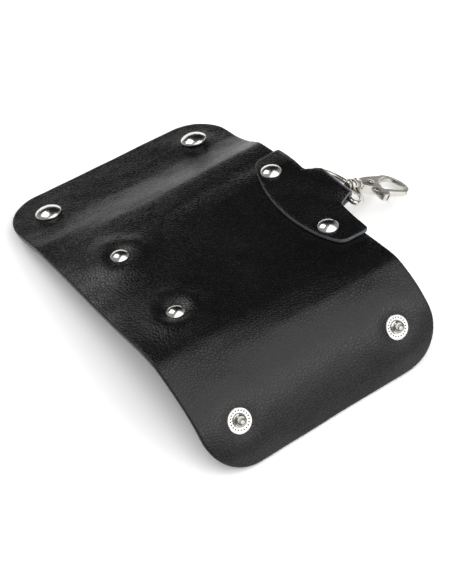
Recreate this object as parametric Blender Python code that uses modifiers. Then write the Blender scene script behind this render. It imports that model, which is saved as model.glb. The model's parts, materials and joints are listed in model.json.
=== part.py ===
"""Three-panel leather key case, laid open with its outer face up, with a key-hook rail and a swivel clasp.

Metres, +Z up. X runs along the folds, towards the clasp, and Y across the three panels.
The case stands on the free edges of its two flaps, like a low arch.
"""

import math

import bmesh
import bpy
from mathutils import Matrix, Vector

# Leather case, measured flat
CASE_LENGTH = 0.110
CENTRE_WIDTH = 0.0616
RIGHT_SPINE_WIDTH = 0.0048
RIGHT_FLAP_LENGTH = 0.0260
RIGHT_TIP_LENGTH = 0.0289
LEFT_FLAP_LENGTH = 0.0426
CORNER_RADIUS = 0.019
OUTER_THICKNESS = 0.0016
LINING_THICKNESS = 0.0012
LINING_MARGIN = 0.0004

# Clearances
FIT_GAP = 0.0003
FOLD_GAP = 0.0006
TIP_FOLD_GAP = 0.0012
CUT_OVERRUN = 0.0020
WELD_DISTANCE = 0.000001

# How far each fold is bent as the case lies, and how far each part of the right flap curls, in degrees
RIGHT_SPINE_BEND = 3.0
RIGHT_FLAP_BEND = 2.0
RIGHT_FLAP_CURL = 26.0
RIGHT_TIP_BEND = 6.0
RIGHT_TIP_CURL = 30.0
LEFT_SPINE_BEND = 10.0
LEFT_FLAP_BEND = 2.0

# How far the folds are bent when the case is shut, in degrees
SPINE_SHUT_BEND = 90.0
RIGHT_FLAP_SHUT_BEND = 70.0

# Snap fasteners, a pair on each flap
SNAP_FROM_END = 0.0169
STUD_FROM_TIP_FOLD = 0.0106
SNAP_POST_RADIUS = 0.0017
SNAP_CAP_RADIUS = 0.0058
SNAP_CAP_HEIGHT = 0.0026
SNAP_CAP_RIM = 0.0007
SOCKET_RADIUS = 0.0052
SOCKET_HEIGHT = 0.0034
SOCKET_ROOF = 0.0005
SOCKET_MOUTH_RADIUS = 0.0025
SOCKET_GROOVE_RADIUS = 0.0034
SOCKET_GROOVE_HEIGHT = 0.0012
SOCKET_LIP = 0.0006
SOCKET_EDGE = 0.0004
SNAP_WIRE_RADIUS = 0.00028
STUD_PLATE_RADIUS = 0.0051
STUD_PLATE_THICKNESS = 0.0008
STUD_PLATE_EDGE = 0.0003
STUD_NECK_RADIUS = 0.0017
STUD_HEAD_RADIUS = 0.0021
STUD_HEIGHT = 0.0028
STUD_BORE_RADIUS = 0.0012
EYELET_RADIUS = 0.0048
EYELET_THICKNESS = 0.0006

# Domed rivets
RIVET_POST_RADIUS = 0.0014
RIVET_CAP_HEIGHT = 0.0020
RIVET_CAP_RIM = 0.0006
RIVET_BORE_DEPTH = 0.0007
RAIL_RIVET_RADIUS = 0.0042
RAIL_RIVET_BASE_RADIUS = 0.0034
RAIL_RIVET_BASE_HEIGHT = 0.0012
TAB_RIVET_RADIUS = 0.0045
TAB_RIVET_BASE_RADIUS = 0.0044
TAB_RIVET_BASE_HEIGHT = 0.0017

# Rail that carries the key hooks
RAIL_RIVET_SPACING = 0.0420
RAIL_RIVET_FROM_END = 0.0227
RAIL_RIVET_TO_PIN = 0.0075
RAIL_RIVET_TO_BACK = 0.0045
RAIL_LENGTH = 0.0520
RAIL_THICKNESS = 0.0010
RAIL_CORNER_RADIUS = 0.0020
KNUCKLE_RADIUS = 0.0019
RAIL_PIN_RADIUS = 0.00075
RAIL_PIN_HEAD_RADIUS = 0.0013
RAIL_PIN_HEAD_THICKNESS = 0.0005

# Key hooks and their spring gates
HOOK_COUNT = 6
HOOK_SPACING = 0.0084
HOOK_EYE_WIDTH = 0.0042
HOOK_LENGTH = 0.0240
HOOK_WIDTH = 0.0076
HOOK_THICKNESS = 0.0013
HOOK_LEG = 0.0012
HOOK_NECK_WIDTH = 0.0034
HOOK_SHOULDER = 0.0032
HOOK_HEAD = 0.0030
HOOK_MOUTH_SET_OFF = 0.0020
HOOK_MOUTH_LENGTH = 0.0092
GATE_THICKNESS = 0.0005
GATE_BARREL_RADIUS = 0.0006
GATE_BARREL_SET_BACK = 0.0010
GATE_SWING_ROOM = 0.0004
GATE_OVERLAP = 0.0014

# Hanger tab, one strip folded over the end of the centre panel
TAB_WIDTH = 0.0610
TAB_SIDE_DEPTH = 0.0130
TAB_DEPTH = 0.0220
TAB_CORNER_RADIUS = 0.0040
TAB_END_RADIUS = 0.0008
TAB_THICKNESS = 0.0017
TAB_OVERHANG = 0.0010
TAB_NECK_WIDTH = 0.0245
TAB_NECK_REACH = 0.0100
TAB_RIVET_SPACING = 0.0394
TAB_RIVET_FROM_END = 0.0112

# Wide eye of the clasp, whose bar lies in the loop of the tab
EYE_WIRE_RADIUS = 0.00115
EYE_CLEARANCE = 0.0010
EYE_DEPTH = 0.0106
EYE_CORNER_RADIUS = 0.0014
BOSS_RADIUS = 0.0032
BOSS_LENGTH = 0.0032
SWIVEL_POST_RADIUS = 0.0012
SWIVEL_HEAD_RADIUS = 0.0023
SWIVEL_HEAD_THICKNESS = 0.0012

# Clasp
COLLAR_RADIUS = 0.0035
COLLAR_LENGTH = 0.0020
CLASP_THICKNESS = 0.0042
CLASP_BASE_WIDTH = 0.0058
CLASP_BELLY = 0.0044
CLASP_BELLY_RADIUS = 0.0020
CLASP_SHANK_LENGTH = 0.0108
CLASP_PIVOT_SET_OFF = 0.0070
CLASP_RING_SET_OFF = 0.0216
CLASP_RING_RADIUS = 0.0074
CLASP_RING_WALL = 0.0028
CLASP_THROAT_RADIUS = 0.0016
CLASP_EDGE = 0.0005
SLOT_BACK = 0.0045
SLOT_TOP = 0.0029

# Trigger of the clasp
TRIGGER_BLADE_THICKNESS = 0.0018
TRIGGER_GATE_THICKNESS = 0.0034
TRIGGER_GATE_WALL = 0.0023
TRIGGER_DISC_RADIUS = 0.0024
TRIGGER_STEP = 0.0052
TRIGGER_ROOT = 0.0046
TRIGGER_REACH = 0.0179
TRIGGER_PIN_RADIUS = 0.0009
TRIGGER_PIN_HEAD_RADIUS = 0.0016
TRIGGER_PIN_HEAD_HEIGHT = 0.0004
THUMB_REACH = 0.0048
THUMB_BACK = 0.0018
THUMB_FRONT = 0.0040
THUMB_TIP_RADIUS = 0.0006
SPRING_STRIP = 0.0003
SPRING_BOW = 0.0004

# Number of steps round turned and curved shapes
TURN_STEPS = 24
SMALL_TURN_STEPS = 16
CORNER_STEPS = 8
SMALL_CORNER_STEPS = 3
DOME_STEPS = 4
CURL_STEPS = 8
BOW_STEPS = 16
RING_STEPS = 16
WIRE_RESOLUTION = 2
SNAP_WIRE_STEPS = 16
SNAP_WIRE_OPENING = 50.0

# Turned profiles, as shares of a base's radius and height
BASE_RIM_SHARES = ((0.93, 0.0), (1.0, 0.30), (0.90, 0.72), (0.60, 1.0))
HEAD_SHARES = ((0.0, 1.0), (0.55, 0.95), (0.90, 0.78), (1.0, 0.58), (0.94, 0.42))

BLACK_GRAIN = ("black grained leather", (0.012, 0.012, 0.013), 0.42, 0.0)
BLACK_LINING = ("black lining leather", (0.022, 0.021, 0.021), 0.62, 0.0)
NICKEL = ("nickel plate", (0.78, 0.77, 0.74), 0.16, 1.0)
CAST_METAL = ("nickel plated zinc", (0.62, 0.60, 0.56), 0.24, 1.0)
SPRING_STEEL = ("spring steel", (0.55, 0.55, 0.56), 0.30, 1.0)

# Worked out from the sizes above: the leather and how it closes
LEATHER = OUTER_THICKNESS + FIT_GAP + LINING_THICKNESS
HALF_LENGTH = CASE_LENGTH / 2
HALF_CENTRE = CENTRE_WIDTH / 2
FLAP_CURL_RADIUS = RIGHT_FLAP_LENGTH / math.radians(RIGHT_FLAP_CURL)
TIP_CURL_RADIUS = RIGHT_TIP_LENGTH / math.radians(RIGHT_TIP_CURL)
STUD_ANGLE = STUD_FROM_TIP_FOLD / TIP_CURL_RADIUS
SNAP_SPACING = CASE_LENGTH - 2 * SNAP_FROM_END
SNAP_STACK = STUD_PLATE_THICKNESS + SOCKET_HEIGHT + 3 * FIT_GAP
RIVET_HOLE_RADIUS = RIVET_POST_RADIUS + FIT_GAP
SNAP_HOLE_RADIUS = SNAP_POST_RADIUS + FIT_GAP

# The rail
RAIL_RIVET_X = RAIL_RIVET_FROM_END - HALF_LENGTH
RAIL_PIN_X = RAIL_RIVET_X + RAIL_RIVET_TO_PIN
RAIL_PIN_Z = -FIT_GAP - KNUCKLE_RADIUS
RAIL_BORE_RADIUS = RAIL_PIN_RADIUS + FIT_GAP
GATE_Y = FIT_GAP + GATE_THICKNESS / 2 + HOOK_LEG - HOOK_WIDTH / 2
HOOK_THROAT = HOOK_SHOULDER + HOOK_HEAD

# The tab and the clasp
TAB_TOP = LEATHER + FIT_GAP + TAB_THICKNESS
TAB_BOTTOM = -FIT_GAP - TAB_THICKNESS
TAB_EDGE_X = HALF_LENGTH + TAB_OVERHANG
TAB_RIVET_X = HALF_LENGTH - TAB_RIVET_FROM_END
LOOP_RADIUS = (TAB_TOP - TAB_BOTTOM) / 2
LOOP_X = HALF_LENGTH + TAB_NECK_REACH - LOOP_RADIUS
EYE_X = LOOP_X + LOOP_RADIUS - TAB_THICKNESS - FIT_GAP - EYE_WIRE_RADIUS
EYE_Z = LEATHER / 2
EYE_HALF_WIDTH = TAB_NECK_WIDTH / 2 + EYE_CLEARANCE + EYE_WIRE_RADIUS
BOSS_START = EYE_DEPTH - BOSS_LENGTH / 2
BOSS_END = EYE_DEPTH + BOSS_LENGTH / 2
COLLAR_START = BOSS_END + FIT_GAP
SHANK_START = COLLAR_START + COLLAR_LENGTH
SHANK_END = SHANK_START + CLASP_SHANK_LENGTH
PIVOT_X = SHANK_START + CLASP_PIVOT_SET_OFF
RING_X = SHANK_START + CLASP_RING_SET_OFF
SLOT_BACK_X = PIVOT_X - SLOT_BACK
TRIGGER_SLOT = TRIGGER_BLADE_THICKNESS + 2 * FIT_GAP


def reach(panels):
    """How far out and down a chain of panels ends. Each is a bend in degrees, a length and a curl in degrees."""
    out = down = slope = 0
    for bend, length, curl in panels:
        bow = math.radians(curl) / 2
        chord = length * math.sin(bow) / bow if curl else length
        heading = math.radians(slope + bend) + bow
        out += chord * math.cos(heading)
        down += chord * math.sin(heading)
        slope += bend + curl
    return out, down


# Shut, the studs come to rest in the sockets, which sets the left spine's width and the sockets' place
STUD_CURL = math.degrees(STUD_ANGLE)
RIGHT_TIP_SHUT_BEND = 180 - SPINE_SHUT_BEND - RIGHT_FLAP_SHUT_BEND - RIGHT_FLAP_CURL - STUD_CURL
STUD_SHUT_OUT, STUD_SHUT_DEPTH = reach((
    (SPINE_SHUT_BEND, RIGHT_SPINE_WIDTH, 0),
    (RIGHT_FLAP_SHUT_BEND, RIGHT_FLAP_LENGTH, RIGHT_FLAP_CURL),
    (RIGHT_TIP_SHUT_BEND, STUD_FROM_TIP_FOLD, STUD_CURL),
))
LEFT_SPINE_WIDTH = STUD_SHUT_DEPTH + LEATHER + SNAP_STACK
SOCKET_FROM_FOLD = CENTRE_WIDTH + STUD_SHUT_OUT


def clear_scene():
    for obj in list(bpy.data.objects):
        bpy.data.objects.remove(obj, do_unlink=True)


def new_collection(name, helper=False):
    collection = bpy.data.collections.new(name)
    collection.hide_render = helper
    bpy.context.scene.collection.children.link(collection)
    return collection


def material(finish):
    name, colour, roughness, metallic = finish
    made = bpy.data.materials.get(name) or bpy.data.materials.new(name)
    made.use_nodes = True
    shader = made.node_tree.nodes["Principled BSDF"]
    shader.inputs["Base Color"].default_value = (*colour, 1)
    shader.inputs["Roughness"].default_value = roughness
    shader.inputs["Metallic"].default_value = metallic
    return made


def frame(name, parent=None, location=(0, 0, 0), turn=(0, 0, 0)):
    """An empty that carries pieces. Its turn is in degrees about X, Y and Z."""
    empty = bpy.data.objects.new(name, None)
    empty.location = location
    empty.rotation_euler = [math.radians(angle) for angle in turn]
    empty.parent = parent
    pieces.objects.link(empty)
    return empty


def place(obj, parent, finish=None):
    """Hang a piece on its frame. One without a finish is a cutter or a helper."""
    if finish:
        pieces.objects.link(obj)
        obj.data.materials.append(material(finish))
    else:
        helpers.objects.link(obj)
        obj.hide_render = True
        obj.display_type = "WIRE"
    obj.parent = parent
    return obj


def mesh_of_curve(name, curve):
    """The curve as a mesh, welded and with its faces pointing out."""
    source = bpy.data.objects.new(name, curve)
    helpers.objects.link(source)
    graph = bpy.context.evaluated_depsgraph_get()
    mesh = bpy.data.meshes.new_from_object(source.evaluated_get(graph))
    bpy.data.objects.remove(source, do_unlink=True)
    work = bmesh.new()
    work.from_mesh(mesh)
    bmesh.ops.remove_doubles(work, verts=work.verts, dist=WELD_DISTANCE)
    bmesh.ops.recalc_face_normals(work, faces=work.faces)
    work.to_mesh(mesh)
    work.free()
    return mesh


def draw_spline(curve, points, cyclic):
    spline = curve.splines.new("POLY")
    spline.points.add(len(points) - 1)
    for point, place_of_point in zip(spline.points, points):
        point.co = (*place_of_point, 0, 1)[:4] if len(place_of_point) == 2 else (*place_of_point, 1)
    spline.use_cyclic_u = cyclic


# Turns from the plane of an outline to the plane it is drawn in
PLANES = {
    "xy": Matrix.Identity(3),
    "xz": Matrix(((1, 0, 0), (0, 0, -1), (0, 1, 0))),
    "yz": Matrix(((0, 0, 1), (1, 0, 0), (0, 1, 0))),
}


def prism(name, outlines, plane, low, high, parent, finish=None):
    """Flat outlines, filled and given a thickness from low to high, square to their plane."""
    curve = bpy.data.curves.new(name, "CURVE")
    curve.dimensions = "2D"
    curve.fill_mode = "BOTH"
    curve.extrude = (high - low) / 2
    for outline in outlines:
        draw_spline(curve, outline, True)
    mesh = mesh_of_curve(name, curve)
    middle = (low + high) / 2
    if plane == "xz":
        middle = -middle
    turn = PLANES[plane].to_4x4()
    mesh.transform(turn @ Matrix.Translation((0, 0, middle)))
    return place(bpy.data.objects.new(name, mesh), parent, finish)


def turned(name, profile, parent, finish=None, along="z", at=(0, 0, 0), closed=False, steps=TURN_STEPS):
    """A profile of (radius, height) points, down its outer side, turned about an axis with a Screw."""
    mesh = bpy.data.meshes.new(name)
    edges = [(i, i + 1) for i in range(len(profile) - 1)]
    if closed:
        edges.append((len(profile) - 1, 0))
    mesh.from_pydata([(radius, 0, height) for radius, height in profile], edges, [])
    obj = place(bpy.data.objects.new(name, mesh), parent, finish)
    turns = {"z": (0, 0, 0), "x": (0, math.pi / 2, 0), "y": (-math.pi / 2, 0, 0)}
    obj.rotation_euler = turns[along]
    obj.location = at
    screw = obj.modifiers.new("Turn", "SCREW")
    screw.axis = "Z"
    screw.angle = math.tau
    screw.steps = steps
    screw.render_steps = steps
    screw.use_merge_vertices = True
    screw.merge_threshold = WELD_DISTANCE
    screw.use_smooth_shade = True
    return obj


def tube(name, points, radius, parent, finish=None, cyclic=False):
    """A round wire along points."""
    curve = bpy.data.curves.new(name, "CURVE")
    curve.dimensions = "3D"
    curve.bevel_depth = radius
    curve.bevel_resolution = WIRE_RESOLUTION
    curve.use_fill_caps = True
    draw_spline(curve, points, cyclic)
    mesh = mesh_of_curve(name, curve)
    mesh.shade_smooth()
    return place(bpy.data.objects.new(name, mesh), parent, finish)


def combine(target, other, operation):
    boolean = target.modifiers.new(operation.title() + " " + other.name, "BOOLEAN")
    boolean.operation = operation
    boolean.object = other
    return target


def cut(target, *others):
    for other in others:
        combine(target, other, "DIFFERENCE")
    return target


def join(target, *others):
    for other in others:
        combine(target, other, "UNION")
    return target


def drill(name, radius, at, low, high, parent, along="z", steps=TURN_STEPS):
    """A round cutter through a place, from low to high along one axis."""
    profile = [(0, high), (radius, high), (radius, low), (0, low)]
    return turned(name + "_drill", profile, parent, along=along, at=at, steps=steps)


def box(name, low, high, parent, finish=None):
    """A block between two corners."""
    bpy.ops.mesh.primitive_cube_add(size=1)
    obj = bpy.context.object
    obj.name = name
    for collection in list(obj.users_collection):
        collection.objects.unlink(obj)
    low, high = Vector(low), Vector(high)
    obj.data.transform(Matrix.Translation((low + high) / 2) @ Matrix.Diagonal((*(high - low), 1)))
    return place(obj, parent, finish)


def arc(centre, radius, start, end, steps):
    """Points on an arc, with its angles in degrees."""
    angles = [math.radians(start + (end - start) * i / steps) for i in range(steps + 1)]
    return [(centre[0] + radius * math.cos(a), centre[1] + radius * math.sin(a)) for a in angles]


def circle(centre, radius, steps=TURN_STEPS):
    return arc(centre, radius, 0, 360, steps)[:-1]


def rounded(corners, steps=CORNER_STEPS):
    """A closed outline from (x, y, radius) corners."""
    outline = []
    for i, (x, y, radius) in enumerate(corners):
        if radius == 0:
            outline.append((x, y))
            continue
        corner = Vector((x, y))
        before = (Vector(corners[i - 1][:2]) - corner).normalized()
        after = (Vector(corners[(i + 1) % len(corners)][:2]) - corner).normalized()
        half = before.angle(after) / 2
        centre = corner + (before + after).normalized() * (radius / math.sin(half))
        first = corner + before * (radius / math.tan(half)) - centre
        last = corner + after * (radius / math.tan(half)) - centre
        start = math.atan2(first.y, first.x)
        sweep = (math.atan2(last.y, last.x) - start + math.pi) % math.tau - math.pi
        outline += arc(centre, radius, math.degrees(start), math.degrees(start + sweep), steps)
    return outline


def lay_frames():
    """Frames on the fold lines, the eye's bar and the pins, each turned as the case lies."""
    made = {"case": frame("case")}
    lean, height = lie_of_case()
    made["centre"] = frame("centre_panel", made["case"], (0, 0, height), (lean, 0, 0))
    folds = (
        ("right_spine", "centre", (0, -HALF_CENTRE, 0), RIGHT_SPINE_BEND),
        ("right_flap", "right_spine", (0, -RIGHT_SPINE_WIDTH, 0), RIGHT_FLAP_BEND),
        ("right_tip", "right_flap", on_curl(FLAP_CURL_RADIUS, RIGHT_FLAP_CURL), RIGHT_FLAP_CURL + RIGHT_TIP_BEND),
        ("left_spine", "centre", (0, HALF_CENTRE, 0), -LEFT_SPINE_BEND),
        ("left_flap", "left_spine", (0, LEFT_SPINE_WIDTH, 0), -LEFT_FLAP_BEND),
    )
    for name, carrier, at, bend in folds:
        made[name] = frame(name + "_fold", made[carrier], at, (bend, 0, 0))
    made["tip_chord"] = frame("tip_chord", made["right_tip"], turn=(RIGHT_TIP_CURL / 2, 0, 0))
    made["studs"] = frame("stud_row", made["right_tip"], on_curl(TIP_CURL_RADIUS, STUD_CURL), (STUD_CURL, 0, 0))
    made["sockets"] = frame("socket_row", made["left_flap"], (0, SOCKET_FROM_FOLD, 0))
    made["eye"] = frame("eye_bar", made["centre"], (EYE_X, 0, EYE_Z), (0, drop_of_clasp(lean, height), 0))
    made["trigger"] = frame("trigger_pivot", made["eye"], (PIVOT_X, 0, 0))
    for i in range(HOOK_COUNT):
        made["hook", i] = frame(f"hook_eye_{i + 1}", made["centre"], (RAIL_PIN_X, hook_y(i), RAIL_PIN_Z))
        made["gate", i] = frame(f"gate_barrel_{i + 1}", made["hook", i], (gate_x(), GATE_Y, 0))
    return made


def hook_y(i):
    return (i - (HOOK_COUNT - 1) / 2) * HOOK_SPACING


def gate_x():
    return HOOK_THROAT - GATE_BARREL_SET_BACK


def on_curl(radius, angle):
    """The place on a curled panel's inner face, an angle in degrees round from its fold."""
    angle = math.radians(angle)
    return (0, -radius * math.sin(angle), radius * (math.cos(angle) - 1))


def lie_of_case():
    """The lean of the centre panel, in degrees, and its height, with both free edges on the ground."""
    left_y, left_drop = reach((
        (LEFT_SPINE_BEND, LEFT_SPINE_WIDTH, 0),
        (LEFT_FLAP_BEND, LEFT_FLAP_LENGTH - LINING_MARGIN, 0),
    ))
    right_y, right_drop = reach((
        (RIGHT_SPINE_BEND, RIGHT_SPINE_WIDTH, 0),
        (RIGHT_FLAP_BEND, RIGHT_FLAP_LENGTH, RIGHT_FLAP_CURL),
        (RIGHT_TIP_BEND, RIGHT_TIP_LENGTH - LINING_MARGIN, RIGHT_TIP_CURL),
    ))
    left_y += HALF_CENTRE
    lean = math.atan2(left_drop - right_drop, left_y + HALF_CENTRE + right_y)
    height = left_drop * math.cos(lean) - left_y * math.sin(lean)
    return math.degrees(lean), height


def drop_of_clasp(lean, height):
    """How steeply the clasp hangs from the tab, in degrees, with its tip just over the ground."""
    lean = math.radians(lean)
    bar_height = height + EYE_Z * math.cos(lean)

    def lowest(drop):
        down = math.sin(drop) * math.cos(lean)
        tip = RING_X * down + CLASP_RING_RADIUS * math.hypot(down, math.sin(lean))
        return bar_height - tip - CLASP_THICKNESS / 2 * math.cos(drop)

    shallow, steep = 0.0, math.pi / 2
    for _ in range(40):
        drop = (shallow + steep) / 2
        if lowest(drop) > FIT_GAP:
            shallow = drop
        else:
            steep = drop
    return math.degrees(shallow)


def panel_outline(near, far, margin):
    x = HALF_LENGTH - margin
    return [(-x, near), (x, near), (x, far), (-x, far)]


def flap_outline(length, side, margin):
    """A flap, from its fold to its free edge, with two round corners."""
    x = HALF_LENGTH - margin
    near = side * FOLD_GAP / 2
    far = side * (length - margin)
    radius = CORNER_RADIUS - margin
    return rounded([(-x, near, 0), (x, near, 0), (x, far, radius), (-x, far, radius)])


def curled_band(radius, start, end, low, high):
    """Side view of a layer of a curled panel, between two lengths from its fold and two heights."""
    angles = [(start + (end - start) * i / CURL_STEPS) / radius for i in range(CURL_STEPS + 1)]

    def point(angle, height):
        return (-(radius + height) * math.sin(angle), (radius + height) * math.cos(angle) - radius)

    return [point(a, low) for a in angles] + [point(a, high) for a in reversed(angles)]


def leather_layer(layer, low, high, margin, finish):
    """The six panels of one leather layer."""
    half_gap = FOLD_GAP / 2
    half = HALF_LENGTH - margin
    centre = panel_outline(half_gap - HALF_CENTRE, HALF_CENTRE - half_gap, margin)
    left_spine = panel_outline(half_gap, LEFT_SPINE_WIDTH - half_gap, margin)
    right_spine = panel_outline(half_gap - RIGHT_SPINE_WIDTH, -half_gap, margin)
    left_flap = flap_outline(LEFT_FLAP_LENGTH, 1, margin)
    made = {
        "centre": prism(layer + "_centre", [centre], "xy", low, high, frames["centre"], finish),
        "left_flap": prism(layer + "_left_flap", [left_flap], "xy", low, high, frames["left_flap"], finish),
    }
    prism(layer + "_left_spine", [left_spine], "xy", low, high, frames["left_spine"], finish)
    prism(layer + "_right_spine", [right_spine], "xy", low, high, frames["right_spine"], finish)
    tip_gap = TIP_FOLD_GAP / 2
    flap = curled_band(FLAP_CURL_RADIUS, half_gap, RIGHT_FLAP_LENGTH - tip_gap, low, high)
    prism(layer + "_right_flap", [flap], "yz", -half, half, frames["right_flap"], finish)
    tip = curled_band(TIP_CURL_RADIUS, tip_gap, RIGHT_TIP_LENGTH + LEATHER, low, high)
    band = prism(layer + "_right_tip", [tip], "yz", -half - LEATHER, half + LEATHER, frames["right_tip"], finish)
    chord = 2 * TIP_CURL_RADIUS * math.sin(math.radians(RIGHT_TIP_CURL) / 2)
    outline = flap_outline(chord, -1, margin)
    outline[0] = (outline[0][0], LEATHER)
    outline[1] = (outline[1][0], LEATHER)
    deep = RIGHT_TIP_LENGTH
    made["right_tip"] = combine(
        band, prism(layer + "_right_tip_shape", [outline], "xy", -deep, deep, frames["tip_chord"]), "INTERSECT"
    )
    return made


def sides(spacing, names):
    return {names[0]: -spacing / 2, names[1]: spacing / 2}


SNAP_PLACES = sides(SNAP_SPACING, ("near", "far"))
RAIL_RIVET_PLACES = sides(RAIL_RIVET_SPACING, ("right", "left"))
TAB_RIVET_PLACES = sides(TAB_RIVET_SPACING, ("right", "left"))


def punch_leather():
    """Holes for every post that goes through the two leather layers."""
    low, high = TAB_BOTTOM - CUT_OVERRUN, TAB_TOP + CUT_OVERRUN
    for side, y in RAIL_RIVET_PLACES.items():
        hole = drill("rail_rivet_" + side, RIVET_HOLE_RADIUS, (RAIL_RIVET_X, y, 0), low, high, frames["centre"])
        cut(outer["centre"], hole)
        cut(lining["centre"], hole)
    for side, y in TAB_RIVET_PLACES.items():
        hole = drill("tab_rivet_" + side, RIVET_HOLE_RADIUS, (TAB_RIVET_X, y, 0), low, high, frames["centre"])
        cut(outer["centre"], hole)
        cut(lining["centre"], hole)
        cut(tab, hole)
    for side, x in SNAP_PLACES.items():
        for row, flap in (("sockets", "left_flap"), ("studs", "right_tip")):
            hole = drill(row + "_" + side, SNAP_HOLE_RADIUS, (x, 0, 0), low, high, frames[row])
            cut(outer[flap], hole)
            cut(lining[flap], hole)


def dome(radius, rim, height):
    """Profile of a cap from its top to its rim, over a seat at zero."""
    rise = height - rim
    bulge = (radius**2 + rise**2) / (2 * rise)
    sweep = math.asin(radius / bulge)
    angles = [sweep * i / DOME_STEPS for i in range(DOME_STEPS + 1)]
    return [(bulge * math.sin(a), height - bulge + bulge * math.cos(a)) for a in angles]


def capped_post(name, radius, rim, height, post_radius, post_end, at, parent):
    """A domed cap with a straight post under it."""
    profile = dome(radius, rim, height)
    profile += [(radius - rim / 2, 0), (post_radius, 0), (post_radius, -post_end), (0, -post_end)]
    return turned(name, profile, parent, NICKEL, at=at)


def rivet_base(name, radius, height, at, parent):
    """The lower half of a rivet, with a bore for the post's end."""
    bore = RIVET_POST_RADIUS + FIT_GAP
    depth = RIVET_BORE_DEPTH + FIT_GAP
    profile = [(0, -depth), (bore, -depth), (bore, 0)]
    profile += [(radius * wide, -height * deep) for wide, deep in BASE_RIM_SHARES] + [(0, -height)]
    return turned(name, profile, parent, NICKEL, at=at)


def rivets():
    """Two rivets through the leather and the rail, and two through the leather and the tab."""
    seat = LEATHER + FIT_GAP
    rail_foot = -2 * FIT_GAP - RAIL_THICKNESS
    for side, y in RAIL_RIVET_PLACES.items():
        reach = seat - rail_foot + RIVET_BORE_DEPTH
        capped_post(
            "rail_rivet_cap_" + side, RAIL_RIVET_RADIUS, RIVET_CAP_RIM, RIVET_CAP_HEIGHT,
            RIVET_POST_RADIUS, reach, (RAIL_RIVET_X, y, seat), frames["centre"],
        )
        rivet_base(
            "rail_rivet_base_" + side, RAIL_RIVET_BASE_RADIUS, RAIL_RIVET_BASE_HEIGHT,
            (RAIL_RIVET_X, y, rail_foot), frames["centre"],
        )
    tab_seat = TAB_TOP + FIT_GAP
    tab_foot = TAB_BOTTOM - FIT_GAP
    for side, y in TAB_RIVET_PLACES.items():
        reach = tab_seat - tab_foot + RIVET_BORE_DEPTH
        capped_post(
            "tab_rivet_cap_" + side, TAB_RIVET_RADIUS, RIVET_CAP_RIM, RIVET_CAP_HEIGHT,
            RIVET_POST_RADIUS, reach, (TAB_RIVET_X, y, tab_seat), frames["centre"],
        )
        rivet_base(
            "tab_rivet_base_" + side, TAB_RIVET_BASE_RADIUS, TAB_RIVET_BASE_HEIGHT,
            (TAB_RIVET_X, y, tab_foot), frames["centre"],
        )


def socket_profile():
    """Section of a snap socket, from its roof down: a bore with a groove for the spring ring."""
    top, foot = -FIT_GAP, -FIT_GAP - SOCKET_HEIGHT
    groove_foot = foot + SOCKET_LIP
    groove_top = groove_foot + SOCKET_GROOVE_HEIGHT
    return [
        (SNAP_HOLE_RADIUS, top),
        (SOCKET_RADIUS - SOCKET_EDGE, top),
        (SOCKET_RADIUS, top - SOCKET_EDGE),
        (SOCKET_RADIUS, foot + SOCKET_EDGE),
        (SOCKET_RADIUS - SOCKET_EDGE, foot),
        (SOCKET_MOUTH_RADIUS, foot),
        (SOCKET_MOUTH_RADIUS, groove_foot),
        (SOCKET_GROOVE_RADIUS, groove_foot),
        (SOCKET_GROOVE_RADIUS, groove_top),
        (SOCKET_MOUTH_RADIUS, groove_top),
        (SOCKET_MOUTH_RADIUS, top - SOCKET_ROOF),
        (SNAP_HOLE_RADIUS, top - SOCKET_ROOF),
    ]


def snap_sockets():
    """Left flap: a domed cap outside, a socket inside, and a split spring ring in the socket's groove."""
    seat = LEATHER + FIT_GAP
    wire_orbit = SOCKET_GROOVE_RADIUS - FIT_GAP - SNAP_WIRE_RADIUS
    wire_height = SOCKET_LIP + SOCKET_GROOVE_HEIGHT / 2 - FIT_GAP - SOCKET_HEIGHT
    gap = SNAP_WIRE_OPENING / 2
    for side, x in SNAP_PLACES.items():
        capped_post(
            "snap_cap_" + side, SNAP_CAP_RADIUS, SNAP_CAP_RIM, SNAP_CAP_HEIGHT,
            SNAP_POST_RADIUS, seat + FIT_GAP + SOCKET_ROOF, (x, 0, seat), frames["sockets"],
        )
        turned("snap_socket_" + side, socket_profile(), frames["sockets"], NICKEL, at=(x, 0, 0), closed=True)
        ring = [(px, py, wire_height) for px, py in arc((x, 0), wire_orbit, gap, 360 - gap, SNAP_WIRE_STEPS)]
        tube("snap_spring_" + side, ring, SNAP_WIRE_RADIUS, frames["sockets"], SPRING_STEEL)


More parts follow.
